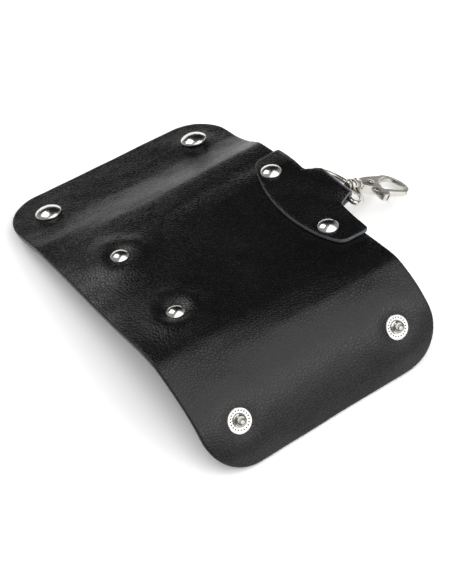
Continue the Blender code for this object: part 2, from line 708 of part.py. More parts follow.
def snap_studs():
    """Right tip: a stud on a flat ring outside, and an eyelet whose barrel holds it from inside."""
    seat = LEATHER + FIT_GAP
    top = seat + STUD_PLATE_THICKNESS
    head = [(STUD_HEAD_RADIUS * wide, top + STUD_HEIGHT * share) for wide, share in HEAD_SHARES]
    bore_top = top + STUD_HEIGHT - STUD_PLATE_THICKNESS
    plate = [
        (STUD_NECK_RADIUS, top),
        (STUD_PLATE_RADIUS - STUD_PLATE_EDGE, top),
        (STUD_PLATE_RADIUS, top - STUD_PLATE_EDGE),
        (STUD_PLATE_RADIUS, seat),
        (STUD_BORE_RADIUS, seat),
        (STUD_BORE_RADIUS, bore_top),
        (0, bore_top),
    ]
    tip_radius = STUD_BORE_RADIUS - FIT_GAP
    eyelet = [
        (0, bore_top - FIT_GAP),
        (tip_radius, bore_top - FIT_GAP),
        (tip_radius, LEATHER),
        (SNAP_POST_RADIUS, LEATHER),
        (SNAP_POST_RADIUS, -FIT_GAP),
        (EYELET_RADIUS - EYELET_THICKNESS / 2, -FIT_GAP),
        (EYELET_RADIUS, -FIT_GAP - EYELET_THICKNESS / 2),
        (EYELET_RADIUS - EYELET_THICKNESS / 2, -FIT_GAP - EYELET_THICKNESS),
        (0, -FIT_GAP - EYELET_THICKNESS),
    ]
    for side, x in SNAP_PLACES.items():
        turned("snap_stud_" + side, head + plate, frames["studs"], NICKEL, at=(x, 0, 0))
        turned("snap_eyelet_" + side, eyelet, frames["studs"], NICKEL, at=(x, 0, 0))


def hook_rail():
    """A steel strip under the centre panel, with its front edge rolled into knuckles round a pin."""
    half = RAIL_LENGTH / 2
    back = RAIL_RIVET_X - RAIL_RIVET_TO_BACK
    top, foot = -FIT_GAP, -FIT_GAP - RAIL_THICKNESS
    pin = (RAIL_PIN_X, RAIL_PIN_Z)
    meet = 180 - math.degrees(math.asin((foot - RAIL_PIN_Z) / KNUCKLE_RADIUS))
    section = [(back, top), (back, foot)] + arc(pin, KNUCKLE_RADIUS, meet, 450, TURN_STEPS)
    rail = prism(
        "hook_rail", [section, circle(pin, RAIL_BORE_RADIUS, SMALL_TURN_STEPS)],
        "xz", -half, half, frames["centre"], NICKEL,
    )
    corner, front = RAIL_CORNER_RADIUS, RAIL_PIN_X + KNUCKLE_RADIUS + CUT_OVERRUN
    plan = rounded([(back, -half, corner), (front, -half, 0), (front, half, 0), (back, half, corner)])
    low, high = RAIL_PIN_Z - KNUCKLE_RADIUS - CUT_OVERRUN, CUT_OVERRUN
    combine(rail, prism("rail_plan", [plan], "xy", low, high, frames["centre"]), "INTERSECT")
    reach = KNUCKLE_RADIUS + FIT_GAP
    for i in range(HOOK_COUNT):
        side = HOOK_EYE_WIDTH / 2 + FIT_GAP
        low = (RAIL_PIN_X - reach, hook_y(i) - side, RAIL_PIN_Z - reach - CUT_OVERRUN)
        high = (RAIL_PIN_X + reach + CUT_OVERRUN, hook_y(i) + side, CUT_OVERRUN)
        cut(rail, box(f"rail_notch_{i + 1}", low, high, frames["centre"]))
    for side, y in RAIL_RIVET_PLACES.items():
        low, high = -RAIL_THICKNESS - CUT_OVERRUN, CUT_OVERRUN
        cut(rail, drill("rail_hole_" + side, RIVET_HOLE_RADIUS, (RAIL_RIVET_X, y, 0), low, high, frames["centre"]))
    head_start = half + FIT_GAP
    head_end = head_start + RAIL_PIN_HEAD_THICKNESS
    shank = [(0, head_end), (RAIL_PIN_HEAD_RADIUS, head_end), (RAIL_PIN_HEAD_RADIUS, head_start)]
    shank += [(RAIL_PIN_RADIUS, head_start)]
    shank += [(radius, -height) for radius, height in reversed(shank)]
    pin_at = (RAIL_PIN_X, 0, RAIL_PIN_Z)
    turned("rail_pin", shank, frames["centre"], SPRING_STEEL, "y", pin_at, steps=SMALL_TURN_STEPS)


def key_hook(i):
    """A flat hook that turns on the rail's pin, with a gap in its side leg for the gate."""
    carrier = frames["hook", i]
    half, leg, thick = HOOK_WIDTH / 2, HOOK_LEG, HOOK_THICKNESS / 2
    inner = half - leg
    loop = rounded(
        [(HOOK_SHOULDER, -half, leg), (HOOK_LENGTH, -half, half - leg / 2),
         (HOOK_LENGTH, half, half - leg / 2), (HOOK_SHOULDER, half, leg)]
    )
    window = rounded(
        [(HOOK_THROAT, -inner, leg / 2), (HOOK_LENGTH - leg, -inner, inner - leg / 2),
         (HOOK_LENGTH - leg, inner, inner - leg / 2), (HOOK_THROAT, inner, leg / 2)]
    )
    hook = prism(f"key_hook_{i + 1}", [loop, window], "xy", -thick, thick, carrier, NICKEL)
    neck_start = (KNUCKLE_RADIUS + RAIL_BORE_RADIUS) / 2
    low = (neck_start, -HOOK_NECK_WIDTH / 2, -thick)
    high = (HOOK_SHOULDER + leg, HOOK_NECK_WIDTH / 2, thick)
    join(hook, box(f"hook_neck_{i + 1}", low, high, carrier))
    side = HOOK_EYE_WIDTH / 2
    eye = prism(
        f"hook_barrel_{i + 1}", [circle((0, 0), KNUCKLE_RADIUS), circle((0, 0), RAIL_BORE_RADIUS)],
        "xz", -side, side, carrier,
    )
    join(hook, eye)
    mouth_x = HOOK_THROAT + HOOK_MOUTH_SET_OFF
    low = (mouth_x, -half - CUT_OVERRUN, -thick - CUT_OVERRUN)
    high = (mouth_x + HOOK_MOUTH_LENGTH, -inner + leg / 2, thick + CUT_OVERRUN)
    cut(hook, box(f"hook_mouth_{i + 1}", low, high, carrier))
    barrel_at = (gate_x(), GATE_Y, 0)
    reach = thick + CUT_OVERRUN
    bore = GATE_BARREL_RADIUS + FIT_GAP
    cut(hook, drill(f"gate_bore_{i + 1}", bore, barrel_at, -reach, reach, carrier, steps=SMALL_TURN_STEPS))
    slack = GATE_THICKNESS / 2 + FIT_GAP
    low = (gate_x(), GATE_Y - slack, -reach)
    high = (HOOK_THROAT + leg / 2, GATE_Y + slack + GATE_SWING_ROOM, reach)
    cut(hook, box(f"gate_mouth_{i + 1}", low, high, carrier))


def hook_gate(i):
    """A leaf of spring steel that closes the hook from inside. Its root is curled into a barrel."""
    carrier = frames["gate", i]
    thick = HOOK_THICKNESS / 2
    end = HOOK_THROAT + HOOK_MOUTH_SET_OFF + HOOK_MOUTH_LENGTH + GATE_OVERLAP - gate_x()
    profile = [(0, thick), (GATE_BARREL_RADIUS, thick), (GATE_BARREL_RADIUS, -thick), (0, -thick)]
    gate = turned(f"hook_gate_{i + 1}", profile, carrier, SPRING_STEEL, steps=SMALL_TURN_STEPS)
    strip = rounded(
        [(0, -GATE_THICKNESS / 2, 0), (end, -GATE_THICKNESS / 2, GATE_THICKNESS / 3),
         (end, GATE_THICKNESS / 2, GATE_THICKNESS / 3), (0, GATE_THICKNESS / 2, 0)], SMALL_CORNER_STEPS
    )
    return join(gate, prism(f"gate_leaf_{i + 1}", [strip], "xy", -thick, thick, carrier))


def tab_outline():
    """A half-moon with a straight edge at the end of the case and two round corners."""
    half = TAB_WIDTH / 2
    side_x = TAB_EDGE_X - TAB_SIDE_DEPTH
    rise = TAB_DEPTH - TAB_SIDE_DEPTH
    sweep = (half**2 + rise**2) / (2 * rise)
    spread = math.degrees(math.asin(half / sweep))
    centre = (side_x - rise + sweep, 0)
    bow = arc(centre, sweep, 180 - spread, 180 + spread, 2 * CORNER_STEPS)[2:-2]
    corners = [(TAB_EDGE_X, -half, TAB_END_RADIUS), (TAB_EDGE_X, half, TAB_END_RADIUS)]
    corners += [(side_x, half, TAB_CORNER_RADIUS)]
    corners += [(x, y, 0) for x, y in bow]
    corners += [(side_x, -half, TAB_CORNER_RADIUS)]
    return rounded(corners, SMALL_CORNER_STEPS + 1)


def hanger_tab():
    """One strip of leather: a half-moon over the case, a loop past its end, and a half-moon under it."""
    over = prism("hanger_tab", [tab_outline()], "xy", LEATHER + FIT_GAP, TAB_TOP, frames["centre"], BLACK_GRAIN)
    under = prism("tab_under", [tab_outline()], "xy", TAB_BOTTOM, -FIT_GAP, frames["centre"])
    start = HALF_LENGTH - TAB_OVERHANG
    centre = (LOOP_X, EYE_Z)
    inner = LOOP_RADIUS - TAB_THICKNESS
    outline = [(start, TAB_BOTTOM)] + arc(centre, LOOP_RADIUS, -90, 90, CORNER_STEPS) + [(start, TAB_TOP)]
    outline += [(start, EYE_Z + inner)] + arc(centre, inner, 90, -90, CORNER_STEPS) + [(start, EYE_Z - inner)]
    half = TAB_NECK_WIDTH / 2
    loop = prism("tab_loop", [outline], "xz", -half, half, frames["centre"])
    return join(over, loop, under)


def clasp_eye():
    """A wide D of wire with a boss at its crown. Its bar lies in the loop of the tab."""
    half = EYE_HALF_WIDTH
    angles = [-80 + 160 * i / BOW_STEPS for i in range(BOW_STEPS + 1)]
    bow = [(EYE_DEPTH * math.cos(math.radians(a)), half * math.sin(math.radians(a)), 0) for a in angles]
    corner = EYE_CORNER_RADIUS
    path = rounded([*bow, (0, half, corner), (0, -half, corner)], SMALL_CORNER_STEPS)
    eye = tube("clasp_eye", path, EYE_WIRE_RADIUS, frames["eye"], CAST_METAL, cyclic=True)
    join(eye, drill("eye_boss", BOSS_RADIUS, (0, 0, 0), BOSS_START, BOSS_END, frames["eye"], "x"))
    low, high = BOSS_START - CUT_OVERRUN, BOSS_END + CUT_OVERRUN
    bore = SWIVEL_POST_RADIUS + FIT_GAP
    return cut(eye, drill("eye_bore", bore, (0, 0, 0), low, high, frames["eye"], "x", SMALL_TURN_STEPS))


def swivel_post():
    """A headed post that turns in the eye's boss and is riveted into the clasp."""
    head = BOSS_START - FIT_GAP
    start = head - SWIVEL_HEAD_THICKNESS
    end = SHANK_START - FIT_GAP
    profile = [
        (0, end),
        (SWIVEL_POST_RADIUS, end),
        (SWIVEL_POST_RADIUS, head),
        (SWIVEL_HEAD_RADIUS, head),
        (SWIVEL_HEAD_RADIUS, start + SWIVEL_HEAD_THICKNESS / 3),
        (SWIVEL_HEAD_RADIUS * 2 / 3, start),
        (0, start),
    ]
    turned("swivel_post", profile, frames["eye"], CAST_METAL, "x", steps=SMALL_TURN_STEPS)


def on_ring(radius, reach):
    """The angle round the clasp's ring of the point of this radius that lies this far from the trigger's pin."""
    ring_x = RING_X - PIVOT_X
    return -math.degrees(math.acos((reach**2 - ring_x**2 - radius**2) / (2 * ring_x * radius)))


def clasp_outline():
    """The clasp's body from above: a widening shank and an open ring that ends in a nose."""
    base, belly = CLASP_BASE_WIDTH / 2, CLASP_BELLY
    ring, inner = CLASP_RING_RADIUS, CLASP_RING_RADIUS - CLASP_RING_WALL
    centre = (RING_X, 0)
    nose = TRIGGER_REACH + FIT_GAP
    throat = CLASP_THROAT_RADIUS
    shank = [(SHANK_START, -base, 0), (PIVOT_X, -belly, CLASP_BELLY_RADIUS), (SHANK_END, -belly, CLASP_BELLY_RADIUS)]
    shank += [(SHANK_END, inner / 2, throat)]
    inside = arc(centre, inner, 95, on_ring(inner, nose), RING_STEPS)
    outside = arc(centre, ring, on_ring(ring, nose), 95, RING_STEPS)
    return rounded(shank + [(x, y, 0) for x, y in inside + outside] + [(SHANK_START, base, 0)], SMALL_CORNER_STEPS)


def clasp_body():
    """A cast ring hook with a collar, a slot for the trigger and a hole for its pin."""
    half = CLASP_THICKNESS / 2
    body = prism("clasp_body", [clasp_outline()], "xy", -half, half, frames["eye"], CAST_METAL)
    overlap = SHANK_START + CLASP_EDGE
    join(body, drill("clasp_collar", COLLAR_RADIUS, (0, 0, 0), COLLAR_START, overlap, frames["eye"], "x"))
    bore = SWIVEL_POST_RADIUS + FIT_GAP
    low, high = COLLAR_START - CUT_OVERRUN, SHANK_START
    cut(body, drill("collar_bore", bore, (0, 0, 0), low, high, frames["eye"], "x", SMALL_TURN_STEPS))
    slot = TRIGGER_SLOT / 2
    low = (SLOT_BACK_X, -CLASP_BELLY - CUT_OVERRUN, -slot)
    high = (SHANK_END + CUT_OVERRUN, SLOT_TOP, slot)
    cut(body, box("trigger_slot", low, high, frames["eye"]))
    pin = TRIGGER_PIN_RADIUS + FIT_GAP
    reach = half + CUT_OVERRUN
    cut(body, drill("pivot_hole", pin, (PIVOT_X, 0, 0), -reach, reach, frames["eye"], steps=SMALL_TURN_STEPS))
    return body


def trigger():
    """The gate of the clasp: a blade on the pin, a bar that closes the ring, and a thumb piece."""
    carrier = frames["trigger"]
    ring_x = RING_X - PIVOT_X
    outer_r, inner_r = CLASP_RING_RADIUS, CLASP_RING_RADIUS - TRIGGER_GATE_WALL
    close, close_inner = on_ring(outer_r, TRIGGER_REACH), on_ring(inner_r, TRIGGER_REACH)
    step, root, tip = TRIGGER_STEP, TRIGGER_ROOT, THUMB_TIP_RADIUS
    thumb_y = -outer_r - THUMB_REACH
    outline = [(root, -step, tip), (ring_x - root, -inner_r, 0)]
    outline += [(x, y, 0) for x, y in arc((ring_x, 0), inner_r, -90, close_inner, SMALL_CORNER_STEPS)]
    outline += [(x, y, 0) for x, y in arc((ring_x, 0), outer_r, close, -90, SMALL_CORNER_STEPS)]
    outline += [(THUMB_FRONT + root, -outer_r - tip, root), (THUMB_FRONT / 2, thumb_y + tip, root)]
    outline += [(-THUMB_BACK, thumb_y, tip), (-tip, -step, 0)]
    thick = TRIGGER_GATE_THICKNESS / 2
    gate = prism("trigger", [rounded(outline, SMALL_CORNER_STEPS)], "xy", -thick, thick, carrier, CAST_METAL)
    disc = TRIGGER_DISC_RADIUS
    blade_outline = arc((0, 0), disc, 30, 200, CORNER_STEPS) + [(0, -step - tip), (root + disc, -step - tip)]
    thin = TRIGGER_BLADE_THICKNESS / 2
    join(gate, prism("trigger_blade", [blade_outline], "xy", -thin, thin, carrier))
    pin = TRIGGER_PIN_RADIUS + FIT_GAP
    return cut(gate, drill("trigger_bore", pin, (0, 0, 0), -thick, thick, carrier, steps=SMALL_TURN_STEPS))


def trigger_pin():
    """A rivet through both cheeks of the clasp, with a low head on each face."""
    seat = CLASP_THICKNESS / 2 + FIT_GAP
    top = seat + TRIGGER_PIN_HEAD_HEIGHT
    half = [(0, top), (TRIGGER_PIN_HEAD_RADIUS * 2 / 3, top), (TRIGGER_PIN_HEAD_RADIUS, seat)]
    half += [(TRIGGER_PIN_RADIUS, seat)]
    profile = half + [(radius, -height) for radius, height in reversed(half)]
    turned("trigger_pin", profile, frames["eye"], CAST_METAL, at=(PIVOT_X, 0, 0), steps=SMALL_TURN_STEPS)


def trigger_spring():
    """A bowed strip of spring steel in the slot, behind the trigger's blade."""
    start_x = SLOT_BACK_X + FIT_GAP
    low, high = -CLASP_BELLY / 2, SLOT_TOP - FIT_GAP
    reach = (high - low) / 2
    bulge = (reach**2 + SPRING_BOW**2) / (2 * SPRING_BOW)
    spread = math.degrees(math.asin(reach / bulge))
    centre = (start_x + SPRING_BOW + SPRING_STRIP - bulge, (low + high) / 2)
    outline = arc(centre, bulge, -spread, spread, CORNER_STEPS)
    outline += arc(centre, bulge - SPRING_STRIP, spread, -spread, CORNER_STEPS)
    half = TRIGGER_BLADE_THICKNESS / 2
    prism("trigger_spring", [outline], "xy", -half, half, frames["eye"], SPRING_STEEL)


def stand_on_origin():
    """Move the case so that the middle of the foot of its box is the origin."""
    graph = bpy.context.evaluated_depsgraph_get()
    corners = []
    for obj in pieces.objects:
        if obj.type == "MESH":
            solid = obj.evaluated_get(graph)
            corners += [solid.matrix_world @ vertex.co for vertex in solid.data.vertices]
    low = [min(corner[axis] for corner in corners) for axis in range(3)]
    high = [max(corner[axis] for corner in corners) for axis in range(3)]
    frames["case"].location = (-(low[0] + high[0]) / 2, -(low[1] + high[1]) / 2, -low[2])
    bpy.context.view_layer.update()


clear_scene()
pieces = new_collection("leather key case")
helpers = new_collection("cutters and joiners", helper=True)
frames = lay_frames()
outer = leather_layer("outer", LINING_THICKNESS + FIT_GAP, LEATHER, 0, BLACK_GRAIN)
lining = leather_layer("lining", 0, LINING_THICKNESS, LINING_MARGIN, BLACK_LINING)
tab = hanger_tab()
punch_leather()
rivets()
snap_sockets()
snap_studs()
hook_rail()
for number in range(HOOK_COUNT):
    key_hook(number)
    hook_gate(number)
clasp_eye()
swivel_post()
clasp_body()
trigger()
trigger_pin()
trigger_spring()
stand_on_origin()
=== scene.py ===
import json
import math

import bmesh
import bpy
import numpy as np
from mathutils import Matrix, Quaternion, Vector, noise


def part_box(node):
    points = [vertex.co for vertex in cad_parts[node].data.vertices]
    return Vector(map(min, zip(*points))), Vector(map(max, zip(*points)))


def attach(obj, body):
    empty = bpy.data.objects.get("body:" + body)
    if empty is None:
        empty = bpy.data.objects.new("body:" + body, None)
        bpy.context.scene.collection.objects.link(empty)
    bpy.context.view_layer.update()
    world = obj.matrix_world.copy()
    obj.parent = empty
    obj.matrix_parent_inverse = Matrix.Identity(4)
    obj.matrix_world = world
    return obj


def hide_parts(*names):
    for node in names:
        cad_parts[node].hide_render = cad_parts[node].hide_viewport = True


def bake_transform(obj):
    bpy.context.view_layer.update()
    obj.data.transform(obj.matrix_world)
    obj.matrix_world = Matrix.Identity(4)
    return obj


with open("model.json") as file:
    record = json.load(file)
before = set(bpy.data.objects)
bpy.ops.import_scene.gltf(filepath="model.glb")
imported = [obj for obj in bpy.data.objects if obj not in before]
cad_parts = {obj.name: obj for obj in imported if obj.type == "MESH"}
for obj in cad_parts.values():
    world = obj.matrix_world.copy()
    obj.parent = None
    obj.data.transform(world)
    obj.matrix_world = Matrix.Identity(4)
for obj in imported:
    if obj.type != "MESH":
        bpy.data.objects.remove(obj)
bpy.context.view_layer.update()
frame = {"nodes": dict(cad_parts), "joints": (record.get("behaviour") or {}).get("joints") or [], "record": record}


# Where the photographer stood: the case is seen from above its near left side,
# with the folds running away to the upper right. A long lens keeps its sides nearly parallel.
CASE_X = (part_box("outer_centre")[0].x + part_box("outer_centre")[1].x) / 2
folds = {joint["name"]: Vector(joint["pos_m"]) for joint in frame["joints"] if "pos_m" in joint}
CASE_Y = (folds["right_spine_fold"].y + folds["left_spine_fold"].y) / 2
CAMERA_HEADING, CAMERA_PITCH, CAMERA_ROLL = math.radians(32.80), math.radians(49.56), math.radians(-2.87)
CAMERA_FROM_CASE = (-0.2141, -0.3397, 0.4682)
FILM_WIDTH, FOCAL_LENGTH = 36, 90.28

camera = bpy.data.objects.new("camera", bpy.data.cameras.new("camera"))
bpy.context.scene.collection.objects.link(camera)
looking = Vector((
    math.sin(CAMERA_HEADING) * math.cos(CAMERA_PITCH),
    math.cos(CAMERA_HEADING) * math.cos(CAMERA_PITCH),
    -math.sin(CAMERA_PITCH),
))
camera.location = Vector((CASE_X, CASE_Y, 0)) + Vector(CAMERA_FROM_CASE)
camera.rotation_euler = (looking.to_track_quat("-Z", "Y") @ Quaternion((0, 0, 1), CAMERA_ROLL)).to_euler()
camera.data.sensor_width, camera.data.lens = FILM_WIDTH, FOCAL_LENGTH
camera.data.clip_start, camera.data.clip_end = 0.01, 20
bpy.context.scene.camera = camera


# White seamless paper in a white tent, with a large soft box overhead and smaller ones in front and
# behind. The tent is open high up behind the case, so the hide's middle mirrors a dark room there.
class Socket:
    """A shader value that can be written in sums."""

    def __init__(self, paint, link):
        self.paint, self.link = paint, link

    def _maths(self, operation, *values):
        inputs = {i: value for i, value in enumerate(values)}
        return self.paint.node("ShaderNodeMath", {"operation": operation}, inputs)

    def __add__(self, other):
        return self._maths("ADD", self, other)

    def __sub__(self, other):
        return self._maths("SUBTRACT", self, other)

    def __rsub__(self, other):
        return self._maths("SUBTRACT", other, self)

    def __mul__(self, other):
        return self._maths("MULTIPLY", self, other)

    __radd__, __rmul__ = __add__, __mul__


class Paint:
    """A material, or the world, with its nodes written as calls."""

    def __init__(self, owner):
        self.owner = owner
        owner.use_nodes = True
        self.tree = owner.node_tree
        self.tree.nodes.clear()

    def node(self, kind, settings=None, inputs=None, output=0):
        """Add a node: its settings first, then the values or links of its sockets."""
        made = self.tree.nodes.new(kind)
        for name, value in (settings or {}).items():
            if name == "stops":
                ramp = made.color_ramp
                for i, (place, shade) in enumerate(value):
                    stop = ramp.elements[i] if i < 2 else ramp.elements.new(place)
                    stop.position, stop.color = place, (shade, shade, shade, 1)
            else:
                setattr(made, name, value)
        for name, value in (inputs or {}).items():
            if isinstance(value, Socket):
                self.tree.links.new(value.link, made.inputs[name])
            else:
                made.inputs[name].default_value = value
        return Socket(self, made.outputs[output])

    def mix(self, amount, first, second):
        return self.node(
            "ShaderNodeMix", {"data_type": "RGBA"}, {0: amount, 6: first, 7: second}, output=2
        )

    def noise(self, place, scale, detail):
        return self.node("ShaderNodeTexNoise", inputs={"Vector": place, "Scale": scale, "Detail": detail})

    def finish(self, kind, shader):
        end = self.tree.nodes.new(kind)
        self.tree.links.new(shader.link, end.inputs["Surface"])

    def surface(self, inputs):
        """Close the material with one Principled shader."""
        self.finish("ShaderNodeOutputMaterial", self.node("ShaderNodeBsdfPrincipled", inputs=inputs))
        return self.owner


def as_object(bm, name, *paints):
    """Turn a bmesh into an object of the scene, with its materials."""
    mesh = bpy.data.meshes.new(name)
    bm.to_mesh(mesh)
    bm.free()
    for paint in paints:
        mesh.materials.append(paint)
    made = bpy.data.objects.new(name, mesh)
    bpy.context.scene.collection.objects.link(made)
    return made


def studio_floor():
    """Paper that lights the case as plain white paper does. The camera sees it printed to pure white,
    with the case's shadow kept, and without the fall of the light further out."""
    paint = Paint(bpy.data.materials.new("white_paper"))
    sheet = paint.node("ShaderNodeBsdfDiffuse", inputs={"Color": (*PAPER, 1)})
    shade = paint.node("ShaderNodeBsdfDiffuse", inputs={"Color": (*PRINTED_PAPER, 1)})
    glow = paint.node("ShaderNodeEmission", inputs={"Color": (1, 1, 1, 1), "Strength": PRINTED_GLOW})
    near = paint.node("ShaderNodeAddShader", inputs={0: shade, 1: glow})
    white = paint.node("ShaderNodeEmission", inputs={"Color": (1, 1, 1, 1), "Strength": 1.0})
    place = paint.node("ShaderNodeTexCoord", output="Object")
    distance = paint.node("ShaderNodeVectorMath", {"operation": "LENGTH"}, {0: place}, output="Value")
    far = paint.node(
        "ShaderNodeMapRange", {"interpolation_type": "SMOOTHSTEP"},
        {"Value": distance, "From Min": SHADOWS_END[0], "From Max": SHADOWS_END[1]},
    )
    lit = paint.node("ShaderNodeMixShader", inputs={0: far, 1: near, 2: white})
    seen = paint.node("ShaderNodeLightPath", output="Is Camera Ray")
    mirrored = paint.node("ShaderNodeLightPath", output="Is Glossy Ray")
    passed = paint.node("ShaderNodeLightPath", output="Is Transmission Ray")
    shown = paint.node("ShaderNodeMixShader", inputs={0: seen + mirrored + passed, 1: sheet, 2: lit})
    paint.finish("ShaderNodeOutputMaterial", shown)
    bm = bmesh.new()
    bmesh.ops.create_grid(bm, x_segments=1, y_segments=1, size=3)
    floor = as_object(bm, "paper", paint.owner)


def soft_box(name, towards, distance, size, power):
    """A rectangular lamp that faces the case, in a direction and at a distance from it."""
    lamp = bpy.data.lights.new(name, "AREA")
    lamp.shape, lamp.size, lamp.size_y, lamp.energy = "RECTANGLE", size[0], size[1], power
    holder = bpy.data.objects.new(name, lamp)
    towards = Vector(towards).normalized()
    holder.location = Vector((CASE_X, CASE_Y, 0)) + towards * distance
    holder.rotation_euler = towards.to_track_quat("Z", "Y").to_euler()
    bpy.context.scene.collection.objects.link(holder)


PAPER, PRINTED_PAPER, PRINTED_GLOW = (0.86,) * 3, (1.3,) * 3, 0.12
SHADOWS_END = (0.22, 0.50)  # how far out the print starts to fade to pure white, and is pure white

studio_floor()
soft_box("overhead", (0.20, -0.42, 0.88), 1.0, (1.44, 1.30), 8.6)
soft_box("in_front", (0.40, -0.80, 0.45), 1.2, (0.80, 0.80), 1.8)
soft_box("low_behind", (0.40, 0.90, 0.08), 1.0, (1.00, 0.11), 0.50)
soft_box("left_behind", (-0.14, 0.64, 0.74), 1.1, (0.40, 0.60), 2.5)

# The tent's opening: the way to its middle, the cosines of the angles from it at which the wall
# begins to darken and is gone, and how bright the wall and the room are
TENT_OPENING = (0.38, 0.76, 0.52)
OPENING_RIM, OPENING_INSIDE = 0.68, 0.89
WALL_LIGHT, ROOM_LIGHT = 0.29, 0.005

world = bpy.data.worlds.new("studio")
bpy.context.scene.world = world
room = Paint(world)
seen_directly = room.node("ShaderNodeLightPath", output="Is Camera Ray")
heading = room.node("ShaderNodeTexCoord", output="Generated")
opening = room.node(
    "ShaderNodeVectorMath", {"operation": "DOT_PRODUCT"},
    {0: heading, 1: Vector(TENT_OPENING).normalized()}, output="Value",
)
wall = room.node("ShaderNodeMapRange", {"interpolation_type": "SMOOTHSTEP"}, {
    "Value": opening, "From Min": OPENING_RIM, "From Max": OPENING_INSIDE,
    "To Min": WALL_LIGHT, "To Max": ROOM_LIGHT,
})
walls = room.node("ShaderNodeBackground", inputs={"Color": (1, 1, 1, 1), "Strength": wall})
backdrop = room.node("ShaderNodeBackground", inputs={"Color": (1, 1, 1, 1), "Strength": 1.0})
seen = room.node("ShaderNodeMixShader", inputs={0: seen_directly, 1: walls, 2: backdrop})
room.finish("ShaderNodeOutputWorld", seen)
bpy.context.scene.view_settings.view_transform = "Standard"


# Outer leather: one piece of black pebble-grained hide, cut flat with round corners, its edge
# rounded and painted, then creased along two spines. It lies arched, pulled in at each fastener.
LEATHER = 0.0031
OUTER_FOOT = 0.00135
HALF_LENGTH = 0.055
CORNER_RADIUS = 0.019
EDGE_ROUND = 0.0006
OUTER_MESH = 0.00125
FOLD_EASE = 0.0045
STEP = 0.0005

# Each panel's length along the hide and its slope in degrees at its two ends, from the right
# free edge to the left one
PANELS = (
    (0.02890, 64.0, 34.0),
    (0.02600, 21.6, -4.4),
    (0.00480, -3.4, -3.4),
    (0.06160, -6.4, -6.4),
    (0.01716, -16.9, -16.9),
    (0.04260, -16.9, -16.9),
)
RIGHT_EDGE = -sum(panel[0] for panel in PANELS[:3]) - PANELS[3][0] / 2
LEFT_EDGE = RIGHT_EDGE + sum(panel[0] for panel in PANELS)

# How far the hide lies off its plain form along its near and its far short edge, in millimetres,
# at places along it given in millimetres
LIE = (
    (-90, 0.2, 0.1), (-72, -0.2, 0.5), (-60, -0.2, 0.2), (-54, 0.1, 0.3), (-50, 0.5, 0.3),
    (-46, 1.1, -0.5), (-42, 2.0, -1.4), (-39, 2.5, -1.9), (-36, 2.3, -2.3), (-30, 2.3, -2.9),
    (-21, 2.3, -2.7), (-10, 1.9, -1.4), (0, 1.3, -0.1), (10, 0.8, 1.2), (20, 0.3, 2.3),
    (24, 0.0, 2.0), (30, -0.5, 1.3), (33, -0.55, 1.3), (41, -0.5, 1.9), (44, -0.45, 1.8),
    (48, -0.3, 0.6), (52, -0.2, -0.7), (57, -0.5, -1.7), (61, -0.7, -2.1), (65, -0.8, -2.3),
    (73, -0.4, -2.0), (90, 0.6, -0.6),
)

# The near edge droops: where along the case it starts to, how much, and where along the hide the
# droop is deepest and how far it reaches
DROOP_START, DROOP_DEPTH = -29, 0.0038
DROOP_MIDDLE, DROOP_REACH = 8, 34

# Soft waves of the hide: height, length along the case, length along the hide, and a seed
WAVES = ((0.35, 26, 19, 3), (0.12, 9, 6, 7))

# Fasteners that hold the hide: place along the case and along the hide, reach and pucker height in
# millimetres, and whether the fastener goes where the hide lies
FASTENERS = (
    (-38.1, 73.4, 9, 0.10, False), (38.1, 73.4, 9, 0.05, False),
    (-38.1, -72.2, 10, 1.0, False), (38.1, -72.2, 10, 1.0, False),
    (-32.3, 21.0, 8, 1.0, False), (-32.3, -21.0, 8, 1.0, False),
    (43.8, 19.7, 7, 0.05, True), (43.8, -19.7, 7, 0.05, True),
)
HOLD_TIGHTNESS = 1.6


def lie_of_hide():
    """Along the hide: the place, height and slope of its inner face."""
    stations = np.arange(RIGHT_EDGE, LEFT_EDGE + STEP, STEP)
    ends = np.cumsum([RIGHT_EDGE] + [panel[0] for panel in PANELS])
    slope = np.zeros_like(stations)
    for (length, first, last), start in zip(PANELS, ends):
        inside = stations >= start - STEP / 2
        slope[inside] = np.radians(first + (last - first) * (stations[inside] - start) / length)
    ease = int(FOLD_EASE / STEP)
    for _ in range(2):
        window = np.full(2 * ease + 1, 1 / (2 * ease + 1))
        slope = np.convolve(np.pad(slope, ease, mode="edge"), window, "valid")
    out = np.concatenate([[0], np.cumsum(np.cos(slope[:-1]) * STEP)])
    up = np.concatenate([[0], np.cumsum(np.sin(slope[:-1]) * STEP)])
    middle = (folds["right_spine_fold"] + folds["left_spine_fold"]) / 2
    out += middle.y - np.interp(0, stations, out)
    up += middle.z - np.interp(0, stations, up)
    return stations, out, up, slope


STATIONS, OUT, UP, SLOPE = lie_of_hide()


def loose_lie(x, s):
    """How far the hide would lie off its plain form if no fastener held it, all in millimetres."""
    half = HALF_LENGTH * 1000
    along = min(max((x + half) / (2 * half), 0), 1)
    places, near_edge, far_edge = zip(*LIE)
    rise = (1 - along) * np.interp(s, places, near_edge) + along * np.interp(s, places, far_edge)
    fade = math.exp(-(((s - DROOP_MIDDLE) / DROOP_REACH) ** 4))
    rise -= max(DROOP_START - x, 0) ** 2 * DROOP_DEPTH * fade
    for height, length, width, seed in WAVES:
        rise += height * noise.noise(Vector((x / length, s / width, seed)))
    return rise


HOLDS = [(x, s, reach, pucker, loose_lie(x, s) if free else 0) for x, s, reach, pucker, free in FASTENERS]


def swell(x, s):
    """How far the hide stands off its plain form, in metres."""
    x, s = x * 1000, s * 1000
    rise, pucker = loose_lie(x, s), 0
    for at_x, at_s, reach, height, held in HOLDS:
        gap = ((x - at_x) ** 2 + (s - at_s) ** 2) / reach**2
        rise += (held - rise) * math.exp(-gap * HOLD_TIGHTNESS)
        pucker += height * gap * math.exp(1 - gap)
    return (rise + pucker) / 1000


